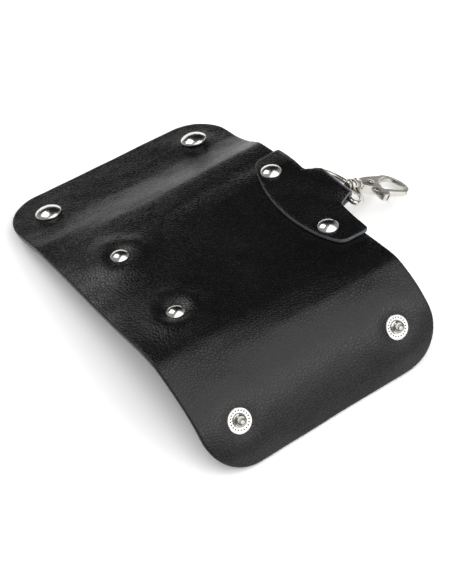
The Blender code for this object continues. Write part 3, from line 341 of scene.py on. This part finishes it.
def formed(x, s, h):
    """Where a point of the flat hide lies: along the case, along the hide, above its inner face."""
    slope = np.interp(s, STATIONS, SLOPE)
    lift = h + swell(x, s)
    y = np.interp(s, STATIONS, OUT) - lift * math.sin(slope)
    z = np.interp(s, STATIONS, UP) + lift * math.cos(slope)
    return Vector((CASE_X + x, y, z))


# Where the hide is divided into pieces, each round one fold, along the hide
RIGHT_FOLD, LEFT_FOLD = -PANELS[3][0] / 2, PANELS[3][0] / 2
SECTIONS = (
    RIGHT_EDGE - 0.01,
    RIGHT_FOLD - PANELS[2][0] - PANELS[1][0] / 2,
    RIGHT_FOLD - PANELS[2][0] / 2,
    0.0,
    LEFT_FOLD + PANELS[4][0] / 2,
    LEFT_EDGE + 0.01,
)

# For each piece, the two bodies on either side of its fold, where along the hide its fold is, and how far
# before and past the fold a turn from one body to the other would start and stop
BENDS = (
    ("right_tip", "right_flap", "right_tip", RIGHT_FOLD - PANELS[2][0] - PANELS[1][0], 0.005, 0.005),
    ("right_flap", "right_spine", "right_flap", RIGHT_FOLD - PANELS[2][0], 0.0022, 0.006),
    ("right_spine", "centre", "right_spine", RIGHT_FOLD, 0.005, 0.0022),
    ("left_spine", "centre", "left_spine", LEFT_FOLD, 0.006, 0.006),
    ("left_flap", "left_spine", "left_flap", LEFT_FOLD + PANELS[4][0], 0.006, 0.006),
)


def thicken(bm, depth, rounding, segments, clamp=False):
    """Give a flat sheet its thickness, and round its two rims."""
    top = bmesh.ops.extrude_face_region(bm, geom=bm.faces[:], use_keep_orig=True)["geom"]
    raised = [v for v in top if isinstance(v, bmesh.types.BMVert)]
    bmesh.ops.translate(bm, vec=(0, 0, depth), verts=raised)
    bmesh.ops.recalc_face_normals(bm, faces=bm.faces[:])
    rims = [e for e in bm.edges if sum(abs(f.normal.z) > 0.5 for f in e.link_faces) == 1]
    bmesh.ops.bevel(
        bm, geom=rims, offset=rounding, segments=segments, profile=0.5, affect="EDGES", material=-1,
        clamp_overlap=clamp,
    )


def score(bm, facing, lines):
    """Cut straight through a flat piece along parallel lines, so that it can bend there."""
    for line in lines:
        geometry = bm.verts[:] + bm.edges[:] + bm.faces[:]
        bmesh.ops.bisect_plane(
            bm, geom=geometry, dist=0.00002, plane_co=Vector(facing) * line, plane_no=facing
        )


def flat_hide(margin, low, high, spacing, rounding):
    """A flat slab with round corners and rounded rims, scored into a mesh that can bend."""
    half = HALF_LENGTH - margin
    right, left = RIGHT_EDGE + margin, LEFT_EDGE - margin
    bm = bmesh.new()
    corners = ((-half, right), (half, right), (half, left), (-half, left))
    corners = [bm.verts.new((x, s, low)) for x, s in corners]
    bm.faces.new(corners)
    bmesh.ops.bevel(
        bm, geom=corners, offset=CORNER_RADIUS - margin, segments=14, profile=0.5, affect="VERTICES",
        material=-1,
    )
    thicken(bm, high - low, rounding, segments=3)
    score(bm, (1, 0, 0), np.arange(-half + spacing, half, spacing))
    score(bm, (0, 1, 0), [*np.arange(right + spacing, left, spacing), *SECTIONS[1:-1]])
    return bm


def form_layer(layer, bm, materials, height):
    """Form the flat slab, then divide it into pieces, each round one fold. Each vertex keeps its place
    in the flat hide, for the grain, and the whole hide's normal, so that the pieces' seams don't show."""
    flat = bm.verts.layers.float_vector.new("flat")
    facing = bm.verts.layers.float_vector.new("facing")
    for vertex in bm.verts:
        vertex[flat] = vertex.co
        vertex.co = formed(*vertex.co)
    bm.normal_update()
    for vertex in bm.verts:
        vertex[facing] = vertex.normal
    middles = {face.index: sum(v[flat].y for v in face.verts) / len(face.verts) for face in bm.faces}
    for i, (node, first, second, fold, before, after) in enumerate(BENDS):
        piece = bm.copy()
        piece.faces.ensure_lookup_table()
        outside = [f for f in piece.faces if not SECTIONS[i] < middles[f.index] < SECTIONS[i + 1]]
        bmesh.ops.delete(piece, geom=outside, context="FACES")
        bmesh.ops.holes_fill(piece, edges=[e for e in piece.edges if e.is_boundary], sides=0)
        hide = as_object(piece, f"{layer}_{node}_hide", *materials)
        mesh = hide.data
        mesh.shade_smooth()
        normals = np.zeros(len(mesh.vertices) * 3, np.float32)
        mesh.attributes["facing"].data.foreach_get("vector", normals)
        mesh.normals_split_custom_set_from_vertices(normals.reshape(-1, 3).tolist())
        outward = -1 if fold < 0 else 1
        start = formed(0, fold - outward * before, height)
        end = formed(0, fold + outward * after, height)
        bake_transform(hide)
        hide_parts(f"{layer}_{node}")
        if node.endswith("spine"):
            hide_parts(f"{layer}_centre")
    bm.free()


def grain_leather(name, colour, scale, depth, roughness):
    """Pebbled hide: small uneven cells with dull creases between them painted dark as shade, over slower waves."""
    paint = Paint(bpy.data.materials.new(name))
    place = paint.node("ShaderNodeAttribute", {"attribute_name": "flat"}, output="Vector")
    drift = paint.node(
        "ShaderNodeTexNoise", inputs={"Vector": place, "Scale": 420, "Detail": 2}, output="Color"
    )
    bent = paint.node(
        "ShaderNodeVectorMath", {"operation": "MULTIPLY_ADD"}, {0: drift, 1: (0.0006,) * 3, 2: place}
    )
    cells = paint.node(
        "ShaderNodeTexVoronoi", {"feature": "DISTANCE_TO_EDGE"},
        {"Vector": bent, "Scale": scale, "Randomness": 1.0}, output="Distance",
    )
    pebble = paint.node(
        "ShaderNodeValToRGB", {"stops": ((0.0, 0.0), (0.55, 1.0), (0.18, 0.72))}, {"Fac": cells}
    )
    fine, slow = paint.noise(place, 3600, 3), paint.noise(place, 140, 4)
    height = pebble * 0.7 + fine * 0.14 + slow * 0.5
    bump = paint.node("ShaderNodeBump", inputs={"Height": height, "Strength": 1.0, "Distance": depth})
    # The creases between the pebbles are painted five times darker: painted shade where the creases fall into
    # shadow
    tone = paint.mix(pebble, (*[c * 0.2 for c in colour], 1), (*colour, 1))
    shine = roughness + 0.14 * (1 - pebble) + 0.12 * (slow - 0.5)
    return paint.surface({
        "Base Color": tone, "Roughness": shine, "Normal": bump, "Specular IOR Level": 0.42,
    })


def painted_edge():
    """Edge paint: thick and black, with slight waves from the applicator."""
    paint = Paint(bpy.data.materials.new("edge_paint"))
    place = paint.node("ShaderNodeAttribute", {"attribute_name": "flat"}, output="Vector")
    waves = paint.noise(place, 700, 2)
    bump = paint.node("ShaderNodeBump", inputs={"Height": waves, "Distance": 0.0002})
    return paint.surface({
        "Base Color": paint.mix(waves, (0.004, 0.004, 0.004, 1), (0.009, 0.009, 0.009, 1)),
        "Roughness": 0.20 + 0.14 * waves, "Normal": bump, "Specular IOR Level": 0.22,
    })


grain = grain_leather("black_pebble_grain", (0.0078, 0.0078, 0.0083), 820, 0.00008, 0.19)
edge = painted_edge()
outer = flat_hide(0, OUTER_FOOT, LEATHER, OUTER_MESH, EDGE_ROUND)
for face in outer.faces:
    face.material_index = 0 if face.normal.z > 0.9 else 1
form_layer("outer", outer, (grain, edge), LEATHER)


# Lining: a thinner, smooth black hide glued inside the outer one and trimmed a hair smaller.
# Its face is the case's inside. The edge paint covers its rim as well.
LINING_INSET = 0.0003
LINING_ROUND = 0.0004
LINING_MESH = 0.0025


def smooth_leather():
    """Smooth lining hide: matt, with fine pores and faint streaks."""
    paint = Paint(bpy.data.materials.new("black_lining"))
    place = paint.node("ShaderNodeAttribute", {"attribute_name": "flat"}, output="Vector")
    pores, streaks = paint.noise(place, 2600, 4), paint.noise(place, 90, 3)
    bump = paint.node("ShaderNodeBump", inputs={"Height": pores + streaks * 0.6, "Distance": 0.00008})
    return paint.surface({
        "Base Color": paint.mix(streaks, (0.017, 0.0165, 0.016, 1), (0.030, 0.029, 0.028, 1)),
        "Roughness": 0.5 + 0.2 * pores, "Normal": bump,
    })


lining_finish = smooth_leather()
lining = flat_hide(LINING_INSET, 0, OUTER_FOOT, LINING_MESH, LINING_ROUND)
for face in lining.faces:
    face.material_index = 0 if face.normal.z < -0.9 else 1
form_layer("lining", lining, (lining_finish, edge), 0)


# Bright metal pieces: pressed steel caps, bases, studs and sockets, plated with nickel.
# The harder-wearing clasp is cast zinc with a warmer plate.
def plated(name, colour, roughness, scratches):
    """Plated metal: cloudy in tone, with fine marks of the given depth."""
    paint = Paint(bpy.data.materials.new(name))
    place = paint.node("ShaderNodeTexCoord", output="Object")
    cloud, marks = paint.noise(place, 260, 3), paint.noise(place, 2400, 5)
    bump = paint.node("ShaderNodeBump", inputs={"Height": marks + cloud, "Distance": scratches})
    return paint.surface({
        "Base Color": paint.mix(cloud, (*[c * 0.86 for c in colour], 1), (*colour, 1)),
        "Metallic": 1.0, "Roughness": roughness + 0.12 * marks, "Normal": bump,
    })


nickel = plated("nickel_plate", (0.82, 0.81, 0.78), 0.13, 0.00001)
cast_nickel = plated("cast_nickel", (0.66, 0.64, 0.59), 0.16, 0.00002)
spring_steel = plated("spring_steel", (0.56, 0.56, 0.57), 0.26, 0.00001)
finishes = {"nickel": nickel, "cast_nickel": cast_nickel, "spring_steel": spring_steel}
slots = {part["node"]: part["material_slot"] for part in frame["record"]["subparts"]}
for name, node in frame["nodes"].items():
    if slots[name] in finishes:
        node.data.materials.clear()
        node.data.materials.append(finishes[slots[name]])


# Hanger tab: one strip of the same hide, a half-moon over the case and another under it, joined by
# a narrow neck that loops round the clasp's bar. Its edges are cut and left raw.
TAB_THICKNESS = 0.0017
TAB_HALF_WIDTH, TAB_DEPTH = 0.0305, 0.0220
TAB_BOW, TAB_CORNER = 0.0562, 0.0055
NECK_ROOT, NECK_TIP, NECK_FILLET = 0.0124, 0.0094, 0.0012
UNDER_NARROWER = 0.17  # part of its width that the inner half-moon lacks, to clear the folded flap
TAB_TOP = LEATHER + 0.0020
TAB_FOOT = -0.0020
LOOP_RADIUS = (TAB_TOP - TAB_FOOT) / 2
TAB_EDGE = HALF_LENGTH + 0.0010
LOOP_START = HALF_LENGTH + 0.0100 - LOOP_RADIUS
LOOP_TURN = math.pi * (LOOP_RADIUS - TAB_THICKNESS / 2)
TAB_EDGE_ROUND, LOOP_MESH = 0.00018, 0.0006
GRAIN_SHIFT = Vector((0.03, 0.05, 0))  # keeps the tab's grain from repeating the case's


def arc(x, y, radius, first, last, steps):
    """Points along an arc between two angles in degrees."""
    turns = [math.radians(first + (last - first) * i / steps) for i in range(steps + 1)]
    return [(x + radius * math.cos(turn), y + radius * math.sin(turn)) for turn in turns]


def flat_tab():
    """The strip as cut: half of its outline, mirrored at the middle of the loop."""
    bow_x = TAB_EDGE - TAB_DEPTH + TAB_BOW
    corner_y = TAB_HALF_WIDTH - TAB_CORNER
    corner_x = bow_x - math.sqrt((TAB_BOW - TAB_CORNER) ** 2 - corner_y**2)
    meeting = math.degrees(math.atan2(corner_y, corner_x - bow_x))
    apex = LOOP_START + LOOP_TURN / 2
    half = arc(bow_x, 0, TAB_BOW, 180, meeting, 20)[1:]
    half += arc(corner_x, corner_y, TAB_CORNER, meeting, 90, 6)[1:]
    half += arc(TAB_EDGE - 0.0008, TAB_HALF_WIDTH - 0.0008, 0.0008, 90, 0, 3)
    half += arc(TAB_EDGE + NECK_FILLET, NECK_ROOT + NECK_FILLET, NECK_FILLET, 180, 270, 4)
    half += [(apex, NECK_TIP)]
    bm = bmesh.new()
    outline = half[::-1] + [(TAB_EDGE - TAB_DEPTH, 0)] + [(x, -y) for x, y in half]
    bm.faces.new([bm.verts.new((x, y, 0)) for x, y in outline])
    turn = Matrix.Translation((apex, 0, 0))
    everything = bm.verts[:] + bm.edges[:] + bm.faces[:]
    bmesh.ops.mirror(bm, geom=everything, matrix=turn.inverted(), merge_dist=0.00001, axis="X")
    bmesh.ops.recalc_face_normals(bm, faces=bm.faces[:])
    bmesh.ops.dissolve_faces(bm, faces=bm.faces[:])
    return bm


def wrap_tab(flat):
    """Where a point of the flat strip lies once wrapped over the case, round the loop and back under."""
    along, across, height = flat
    turn = min(max(along - LOOP_START, 0), LOOP_TURN) / LOOP_TURN * math.pi
    returning = along > LOOP_START + LOOP_TURN
    straight = 2 * LOOP_START + LOOP_TURN - along if returning else min(along, LOOP_START)
    radius = LOOP_RADIUS - TAB_THICKNESS + height
    x = straight + radius * math.sin(turn)
    h = (TAB_TOP + TAB_FOOT) / 2 + radius * math.cos(turn)
    level = min(max(x - HALF_LENGTH, 0) / (LOOP_START - HALF_LENGTH), 1)
    across *= 1 - UNDER_NARROWER * turn / math.pi
    return formed(x, across, h - swell(x, across) * level)


def hanger_tab():
    """Score the strip, closely where it loops, thicken it and wrap it round the case's end."""
    bm = flat_tab()
    end = 2 * LOOP_START + LOOP_TURN
    over_case = np.arange(0.036, LOOP_START, 0.0025)
    loop = np.arange(LOOP_START - 0.003, end - LOOP_START + 0.003, LOOP_MESH)
    score(bm, (1, 0, 0), [*loop, *over_case, *(end - over_case)])
    score(bm, (0, 1, 0), np.arange(-0.029, 0.0295, 0.002))
    thicken(bm, TAB_THICKNESS, TAB_EDGE_ROUND, segments=2)
    flat = bm.verts.layers.float_vector.new("flat")
    for face in bm.faces:
        face.material_index = 0 if face.normal.z > 0.9 else 1 if face.normal.z > -0.9 else 2
        face.smooth = True
    for vertex in bm.verts:
        vertex[flat] = vertex.co + GRAIN_SHIFT
        vertex.co = wrap_tab(vertex.co)
    bmesh.ops.recalc_face_normals(bm, faces=bm.faces[:])
    tab = as_object(bm, "hanger_tab_strip", grain, raw_edge, lining_finish)
    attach(tab, "centre")
    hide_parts("hanger_tab")


def cut_edge():
    """Raw cut hide: grey-blue, fibrous and dull."""
    paint = Paint(bpy.data.materials.new("cut_edge"))
    place = paint.node("ShaderNodeAttribute", {"attribute_name": "flat"}, output="Vector")
    fibres, blotches = paint.noise(place, 3000, 5), paint.noise(place, 500, 2)
    bump = paint.node("ShaderNodeBump", inputs={"Height": fibres, "Distance": 0.00025})
    return paint.surface({
        "Base Color": paint.mix(blotches, (0.08, 0.09, 0.105, 1), (0.24, 0.26, 0.28, 1)),
        "Roughness": 0.75 + 0.15 * fibres, "Normal": bump,
    })


raw_edge = cut_edge()
hanger_tab()


# Domed fasteners. Six are caps with a post through the hide: two snap caps, two rivets of the rail
# and two of the tab. Each is drawn from thin sheet, so its rim turns down and bites into the hide.
def turned(profile, steps=64):
    """A body turned round Z from a profile of radii and heights that starts and ends on the axis."""
    bm = bmesh.new()
    line = [bm.verts.new((radius, 0, height)) for radius, height in profile]
    edges = [bm.edges.new(pair) for pair in zip(line, line[1:])]
    bmesh.ops.spin(
        bm, geom=line + edges, cent=(0, 0, 0), axis=(0, 0, 1), angle=2 * math.pi, steps=steps,
        use_merge=True,
    )
    bmesh.ops.remove_doubles(bm, verts=bm.verts[:], dist=0.0000005)
    bmesh.ops.recalc_face_normals(bm, faces=bm.faces[:])
    return bm


bodies = frame["record"]["behaviour"]["bodies"]
SEAT_SPAN = 0.003


def placed(name, bm, place, node, *paints, sharp=50):
    """Put a modelled piece in its solid's stead. Edges that turn more than sharp degrees stay crisp."""
    bm.transform(place)
    for face in bm.faces:
        face.smooth = True
    for edge in bm.edges:
        edge.smooth = len(edge.link_faces) == 2 and edge.calc_face_angle() < math.radians(sharp)
    made = as_object(bm, name, *paints)
    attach(made, next(body for body, nodes in bodies.items() if node in nodes))
    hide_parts(node)


def seat_of(node, along, height):
    """A fastener's frame: at its solid's place along the case, square to the hide, at a height in it."""
    x = (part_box(node)[0].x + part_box(node)[1].x) / 2 - CASE_X
    across = formed(x + SEAT_SPAN, along, height) - formed(x - SEAT_SPAN, along, height)
    ahead = formed(x, along + SEAT_SPAN, height) - formed(x, along - SEAT_SPAN, height)
    upward = across.cross(ahead).normalized()
    across.normalize()
    place = Matrix((across, upward.cross(across), upward)).transposed().to_4x4()
    place.translation = formed(x, along, height)
    return place


def dome(radius, rim, height, points=10):
    """Profile of a cap from its rim to its crown."""
    ball = (radius**2 + (height - rim) ** 2) / (2 * (height - rim))
    spread = math.asin(radius / ball)
    turns = [spread * (1 - i / points) for i in range(points + 1)]
    return [(ball * math.sin(turn), height - ball * (1 - math.cos(turn))) for turn in turns]


def cap(node, along, seat, radius, rim, height, post, depth):
    """A drawn cap: its radius, the height of its rim and crown, and its post's radius and depth."""
    crown = dome(radius - 0.00015, rim, height)
    profile = [(0, -depth), (post, -depth), (post, 0.0002), (radius - 0.0006, 0.0003), (radius - 0.0003, 0)]
    profile += [(radius, 0.0001), (radius, rim - 0.0002)] + crown[:-1] + [(0, height)]
    placed(node + "_drawn", turned(profile), seat_of(node, along, seat), node, nickel)


SNAP_CAP_AT, RAIL_RIVETS_AT, TAB_RIVETS_AT = LEFT_FOLD + PANELS[4][0] + 0.02548, 0.021, 0.0197
SNAP_CAP = (0.0058, 0.0008, 0.0026, 0.0017, 0.0037)
RAIL_CAP = (0.0042, 0.0006, 0.0021, 0.0014, 0.0042)
TAB_CAP = (0.0045, 0.0006, 0.0021, 0.0014, TAB_TOP - TAB_FOOT + 0.0005)
TAB_BASE = (
    (0, 0.0007), (0.0014, 0.0007), (0.0014, 0), (0.0041, 0), (0.0044, -0.0003), (0.0044, -0.0007),
    (0.0041, -0.0011), (0.0034, -0.0014), (0.0022, -0.0016), (0, -0.0017),
)
for side in ("near", "far"):
    cap(f"snap_cap_{side}", SNAP_CAP_AT, LEATHER, *SNAP_CAP)
for side, way in (("right", -1), ("left", 1)):
    cap(f"rail_rivet_cap_{side}", way * RAIL_RIVETS_AT, LEATHER, *RAIL_CAP)
for side, way in (("right", -1), ("left", 1)):
    cap(f"tab_rivet_cap_{side}", way * TAB_RIVETS_AT, TAB_TOP, *TAB_CAP)
    name = f"tab_rivet_base_{side}"
    placed(name + "_drawn", turned(TAB_BASE), seat_of(name, way * TAB_RIVETS_AT, TAB_FOOT), name, nickel)


# Ring studs on the right flap: a flat plate with a row of small pits pressed round it, and a hollow
# bulb in the middle that the socket's spring grips. Pits and bulb get darker copies of the plate: painted shade.
PITS, PIT_RING, PIT_DEPTH = 20, 0.00385, 0.0004


def ring_stud(node):
    """A stud turned from its plate to its bulb, with every fifth point of the pits' circle pressed in."""
    outline = [(0.0051, 0.00005), (0.0051, 0.0005), (0.00485, 0.0007), (0.0045, 0.0007)]
    outline += [(0.0041, 0.0007), (PIT_RING, 0.0007), (0.0036, 0.0007), (0.0029, 0.0007), (0.0026, 0.0006)]
    outline += [(0.0023, 0.0008), (0.0019, 0.0011), (0.00185, 0.0014), (0.0022, 0.0018), (0.00235, 0.0022)]
    outline += [(0.0022, 0.0026), (0.0018, 0.0029), (0.0013, 0.0030), (0.0010, 0.0028), (0, 0.0027)]
    bm = turned([(0, 0), (0.0049, 0)] + outline, steps=PITS * 5)
    for vertex in bm.verts:
        if abs(math.hypot(vertex.co.x, vertex.co.y) - PIT_RING) < 0.00001:
            turn = math.atan2(vertex.co.y, vertex.co.x) / (2 * math.pi) * PITS
            if abs(turn - round(turn)) < 0.05:
                vertex.co.z -= PIT_DEPTH
                # The faces round each pit take the near-black pit material, painted shade in the pit
                for face in vertex.link_faces:
                    face.material_index = 1
    # The bulb's faces take a darker copy of the plate, painted shade for the dark hide that it mirrors
    for face in bm.faces:
        middle = face.calc_center_median()
        if middle.z > 0.0008 and math.hypot(middle.x, middle.y) < 0.0025:
            face.material_index = 2
    seat = seat_of(node, STUD_AT, LEATHER)
    placed(node + "_drawn", bm, seat, node, nickel, pit_shade, bulb_painted_shade, sharp=35)


# A near-black copy of the plate for the pits: painted shade
pit_shade = plated("plate_in_pits", (0.09, 0.085, 0.075), 0.40, 0.00001)
# A darker copy of the plate for the bulb: painted shade for the dark hide that it mirrors
bulb_painted_shade = plated("drawn_bulb", (0.44, 0.43, 0.39), 0.12, 0.00001)
STUD_AT = RIGHT_FOLD - PANELS[2][0] - PANELS[1][0] - 0.0106
for side in ("near", "far"):
    ring_stud(f"snap_stud_{side}")


# The other halves of the snaps, inside: under each cap a deep socket, with a split ring of spring wire
# in its groove, and under each stud a flanged eyelet whose barrel is spread inside the bulb.
SOCKET = (
    (0, -0.0003), (0.0047, -0.0003), (0.0051, -0.0005), (0.0052, -0.0009), (0.0052, -0.0030),
    (0.0050, -0.0034), (0.0045, -0.0037), (0.0031, -0.0037), (0.0026, -0.0035), (0.0025, -0.0032),
    (0.0026, -0.0031), (0.0034, -0.0031), (0.0034, -0.0019), (0.0026, -0.0019), (0.0026, -0.0009),
    (0.0016, -0.0008), (0.0013, -0.0011), (0, -0.0012),
)
SPRING_RING = (0.0030, 0.00030, -0.0026)
EYELET = (
    (0, 0.0030), (0.0009, 0.0030), (0.0009, 0), (0.0045, 0), (0.0048, -0.0003), (0.0047, -0.0007),
    (0.0042, -0.0009), (0.0019, -0.0009), (0.0013, -0.0007), (0.0008, -0.0001), (0.0007, 0.0020), (0, 0.0021),
)


def split_ring(orbit, wire, height):
    """A ring of round wire, open by 50 degrees: its radius, its wire's radius and its height."""
    bm = bmesh.new()
    bmesh.ops.create_circle(bm, cap_ends=True, segments=10, radius=wire, matrix=(
        Matrix.Translation((orbit, 0, height)) @ Matrix.Rotation(math.pi / 2, 4, "X")
    ))
    bmesh.ops.rotate(bm, verts=bm.verts[:], cent=(0, 0, 0), matrix=Matrix.Rotation(math.radians(25), 3, "Z"))
    start = bm.verts[:] + bm.edges[:] + bm.faces[:]
    bmesh.ops.spin(bm, geom=start, cent=(0, 0, 0), axis=(0, 0, 1), angle=math.radians(310), steps=40)
    bmesh.ops.recalc_face_normals(bm, faces=bm.faces[:])
    return bm


for side in ("near", "far"):
    for name, along, profile in (("snap_socket_", SNAP_CAP_AT, SOCKET), ("snap_eyelet_", STUD_AT, EYELET)):
        node = name + side
        placed(node + "_turned", turned(profile), seat_of(node, along, 0), node, nickel, sharp=40)
    node = "snap_spring_" + side
    seat = seat_of("snap_cap_" + side, SNAP_CAP_AT, 0)
    placed(node + "_wire", split_ring(*SPRING_RING), seat, node, spring_steel)


# Pieces on the inside of the centre: the rolled rail with its two rivet bases and its pin, and the key
# hooks, stamped and plated, each with a leaf gate. Their edges are all slightly broken.
def break_edges(node, width):
    """Give a solid's sharp edges a narrow bevel."""
    piece = frame["nodes"][node]
    weld = piece.modifiers.new("weld", "WELD")
    weld.merge_threshold = 0.000005
    bevel = piece.modifiers.new("broken_edges", "BEVEL")
    bevel.width, bevel.segments, bevel.limit_method, bevel.angle_limit = width, 2, "ANGLE", math.radians(38)
    bevel.harden_normals = True
    piece.data.shade_smooth()


for name in frame["nodes"]:
    if name.startswith(("key_hook", "hook_rail")):
        break_edges(name, 0.00015)
    elif name.startswith(("hook_gate", "rail_pin", "rail_rivet_base")):
        break_edges(name, 0.00008)


# Swivel clasp, cast and plated: a wide wire eye in the tab's loop, a headed post, an open ring with
# a collar, and a sprung trigger on a rivet, with a ridged thumb piece.
joints = {joint["name"]: joint for joint in frame["joints"]}
CLASP_OUT = Vector(joints["clasp_swivel"]["axis"]).normalized()
CLASP_SIDE = -Vector(joints["eye_swing"]["axis"]).normalized()
EYE = Matrix((CLASP_OUT, CLASP_SIDE, CLASP_OUT.cross(CLASP_SIDE))).transposed().to_4x4()
EYE.translation = Vector(joints["eye_swing"]["pos_m"])
# The clasp's flat faces take a darker copy of its cast plate: painted shade for the dark room they mirror
cast_flats_painted_shade = plated("cast_nickel_flats", (0.29, 0.275, 0.245), 0.34, 0.00003)
EYE_BAR, EYE_DEPTH, EYE_WIRE, EYE_BEND = 0.0144, 0.0106, 0.00115, 0.0016
COLLAR, SHANK, PIVOT, SHANK_END, RING = 0.0125, 0.0145, 0.0215, 0.0253, 0.0361
RING_OUTER, RING_INNER = 0.0074, 0.0054
RING_SLIMMER = 0.55  # part of its thickness that the casting loses on its way to the ring's far side
TRIGGER_REACH, GATE_GAP = 0.0179, 0.0003
RIDGES, RIDGE_SIZE = 5, (0.00035, 0.0009, 0.0034)


def plate(outline, half, rounding, segments):
    """A flat piece cut to an outline, its rims rounded, its two faces in the second material, a darker copy of the
    metal painted as shade.
    """
    bm = bmesh.new()
    bm.faces.new([bm.verts.new((x, y, -half)) for x, y in outline])
    thicken(bm, 2 * half, rounding, segments, clamp=True)
    for face in bm.faces:
        # The two flat faces take the second material, the painted shade
        face.material_index = abs(face.normal.z) > 0.999
    return bm


def add(bm, other, place=Matrix()):
    """Join another piece's mesh to this one."""
    other.transform(place)
    loose = bpy.data.meshes.new("loose")
    other.to_mesh(loose)
    other.free()
    bm.from_mesh(loose)
    bpy.data.meshes.remove(loose)


def on_ring(radius, reach):
    """The angle, at the ring's middle, of the point of a circle that lies so far from the pivot."""
    gap = RING - PIVOT
    return -math.degrees(math.acos((reach**2 - gap**2 - radius**2) / (2 * gap * radius)))


def swept(path, radius, sides=16):
    """Round wire along a closed path."""
    bm = bmesh.new()
    rings = []
    count = len(path)
    for i, point in enumerate(path):
        ahead, behind = Vector(path[(i + 1) % count]), Vector(path[i - 1])
        along = (ahead - behind).normalized()
        side = along.cross(Vector((0, 0, 1))).normalized()
        ring = []
        for j in range(sides):
            turn = 2 * math.pi * j / sides
            outward = side * (radius * math.cos(turn)) + Vector((0, 0, radius * math.sin(turn)))
            ring.append(bm.verts.new(Vector(point) + outward))
        rings.append(ring)
    for i, ring in enumerate(rings):
        following = rings[(i + 1) % count]
        for j in range(sides):
            bm.faces.new((ring[j], ring[(j + 1) % sides], following[(j + 1) % sides], following[j]))
    bmesh.ops.recalc_face_normals(bm, faces=bm.faces[:])
    return bm


def slim(bm, start):
    """Thin the casting towards the ring's far side."""
    for vertex in bm.verts:
        far = min(max((vertex.co.x + start - PIVOT) / (RING + RING_OUTER - PIVOT), 0), 1)
        vertex.co.z *= 1 - RING_SLIMMER * far


def wire_eye():
    """The eye: a bow, a straight bar with two short bends, and a boss on the bow for the post."""
    turns = [math.radians(a) for a in range(-78, 79, 4)]
    bow = [(EYE_DEPTH * math.cos(turn), EYE_BAR * math.sin(turn)) for turn in turns]
    bar = [(0, EYE_BAR - 0.0014 - i * (EYE_BAR - 0.0014) * 2 / 12) for i in range(13)]
    turn_up = arc(EYE_BEND, EYE_BAR - 0.0015, EYE_BEND, 118, 180, 5)
    turn_down = arc(EYE_BEND, 0.0015 - EYE_BAR, EYE_BEND, 180, 242, 5)
    path = bow + turn_up[:-1] + bar + turn_down[1:]
    bm = swept([(x, y, 0) for x, y in path], EYE_WIRE)
    boss = [(0, 0.0090), (0.0013, 0.0090), (0.0013, 0.0088), (0.0028, 0.0088), (0.0032, 0.0092)]
    boss += [(0.0032, 0.0118), (0.0028, 0.0122), (0.0015, 0.0122), (0, 0.0122)]
    add(bm, turned(boss), Matrix.Rotation(math.pi / 2, 4, "Y"))
    placed("clasp_eye_cast", bm, EYE, "clasp_eye", cast_nickel)


def clasp_ring():
    """The body: an open ring that ends where the trigger's tip meets it, a shank and a collar."""
    gate = TRIGGER_REACH + GATE_GAP
    outline = arc(RING, 0, RING_OUTER, 118, on_ring(RING_OUTER, gate), 44)
    outline += arc(RING, 0, RING_INNER, on_ring(RING_INNER, gate), 118, 40)
    outline += [(SHANK_END + 0.0042, 0.0026), (SHANK_END + 0.0008, -0.0006), (SHANK_END, -0.0030)]
    outline += [(SHANK_END - 0.0003, -0.0041), (SHANK_END - 0.0012, -0.0044), (PIVOT, -0.0044)]
    outline += [(PIVOT - 0.0018, -0.0040), (SHANK + 0.0008, -0.0029), (SHANK, -0.0024)]
    outline += [(SHANK, 0.0024), (SHANK + 0.0008, 0.0029), (PIVOT, 0.0046)]
    bm = plate(outline, 0.0021, 0.0009, segments=4)
    slim(bm, 0)
    collar = [(0, COLLAR), (0.0030, COLLAR), (0.0035, COLLAR + 0.0004), (0.0035, COLLAR + 0.0014)]
    collar += [(0.0030, COLLAR + 0.0020), (0.0024, COLLAR + 0.0026), (0, COLLAR + 0.0028)]
    add(bm, turned(collar, steps=48), Matrix.Rotation(math.pi / 2, 4, "Y"))
    placed("clasp_body_cast", bm, EYE, "clasp_body", cast_nickel, cast_flats_painted_shade)


def clasp_trigger():
    """The trigger: a gate bar that closes the ring, an eye on the pin and a ridged thumb piece."""
    gap = RING - PIVOT
    inner = RING_OUTER - 0.0020
    outline = [(0.0052, -0.0050), (gap - 0.0035, -inner)]
    outline += arc(gap, 0, inner, -92, on_ring(inner, TRIGGER_REACH), 8)
    outline += arc(gap, 0, RING_OUTER, on_ring(RING_OUTER, TRIGGER_REACH), -92, 8)
    outline += [(0.0086, -0.0074), (0.0050, -0.0076), (0.0040, -0.0081), (0.0029, -0.0099), (0.0023, -0.0103)]
    outline += [(0.0004, -0.0103), (-0.0001, -0.0099), (0.0001, -0.0058), (0.0004, -0.0053)]
    bm = plate(outline, 0.0017, 0.0006, segments=3)
    slim(bm, PIVOT)
    eye = arc(0, 0, 0.0024, 20, 200, 16) + [(-0.0006, -0.0058), (0.0068, -0.0058)]
    add(bm, plate(eye, 0.0009, 0.0002, segments=2))
    for i in range(RIDGES):
        ridge = bmesh.new()
        bmesh.ops.create_cube(ridge, size=1)
        bmesh.ops.scale(ridge, vec=RIDGE_SIZE, verts=ridge.verts[:])
        bmesh.ops.bevel(
            ridge, geom=ridge.edges[:], offset=0.00012, segments=1, profile=0.5, affect="EDGES", material=-1
        )
        add(bm, ridge, Matrix.Translation((0.0028 + 0.0004 * i, -0.0101 + 0.0006 * i, 0)))
    place = EYE @ Matrix.Translation((PIVOT, 0, 0))
    placed("trigger_cast", bm, place, "trigger", cast_nickel, cast_flats_painted_shade)


wire_eye()
clasp_ring()
clasp_trigger()
for name in ("swivel_post", "trigger_pin"):
    break_edges(name, 0.0001)
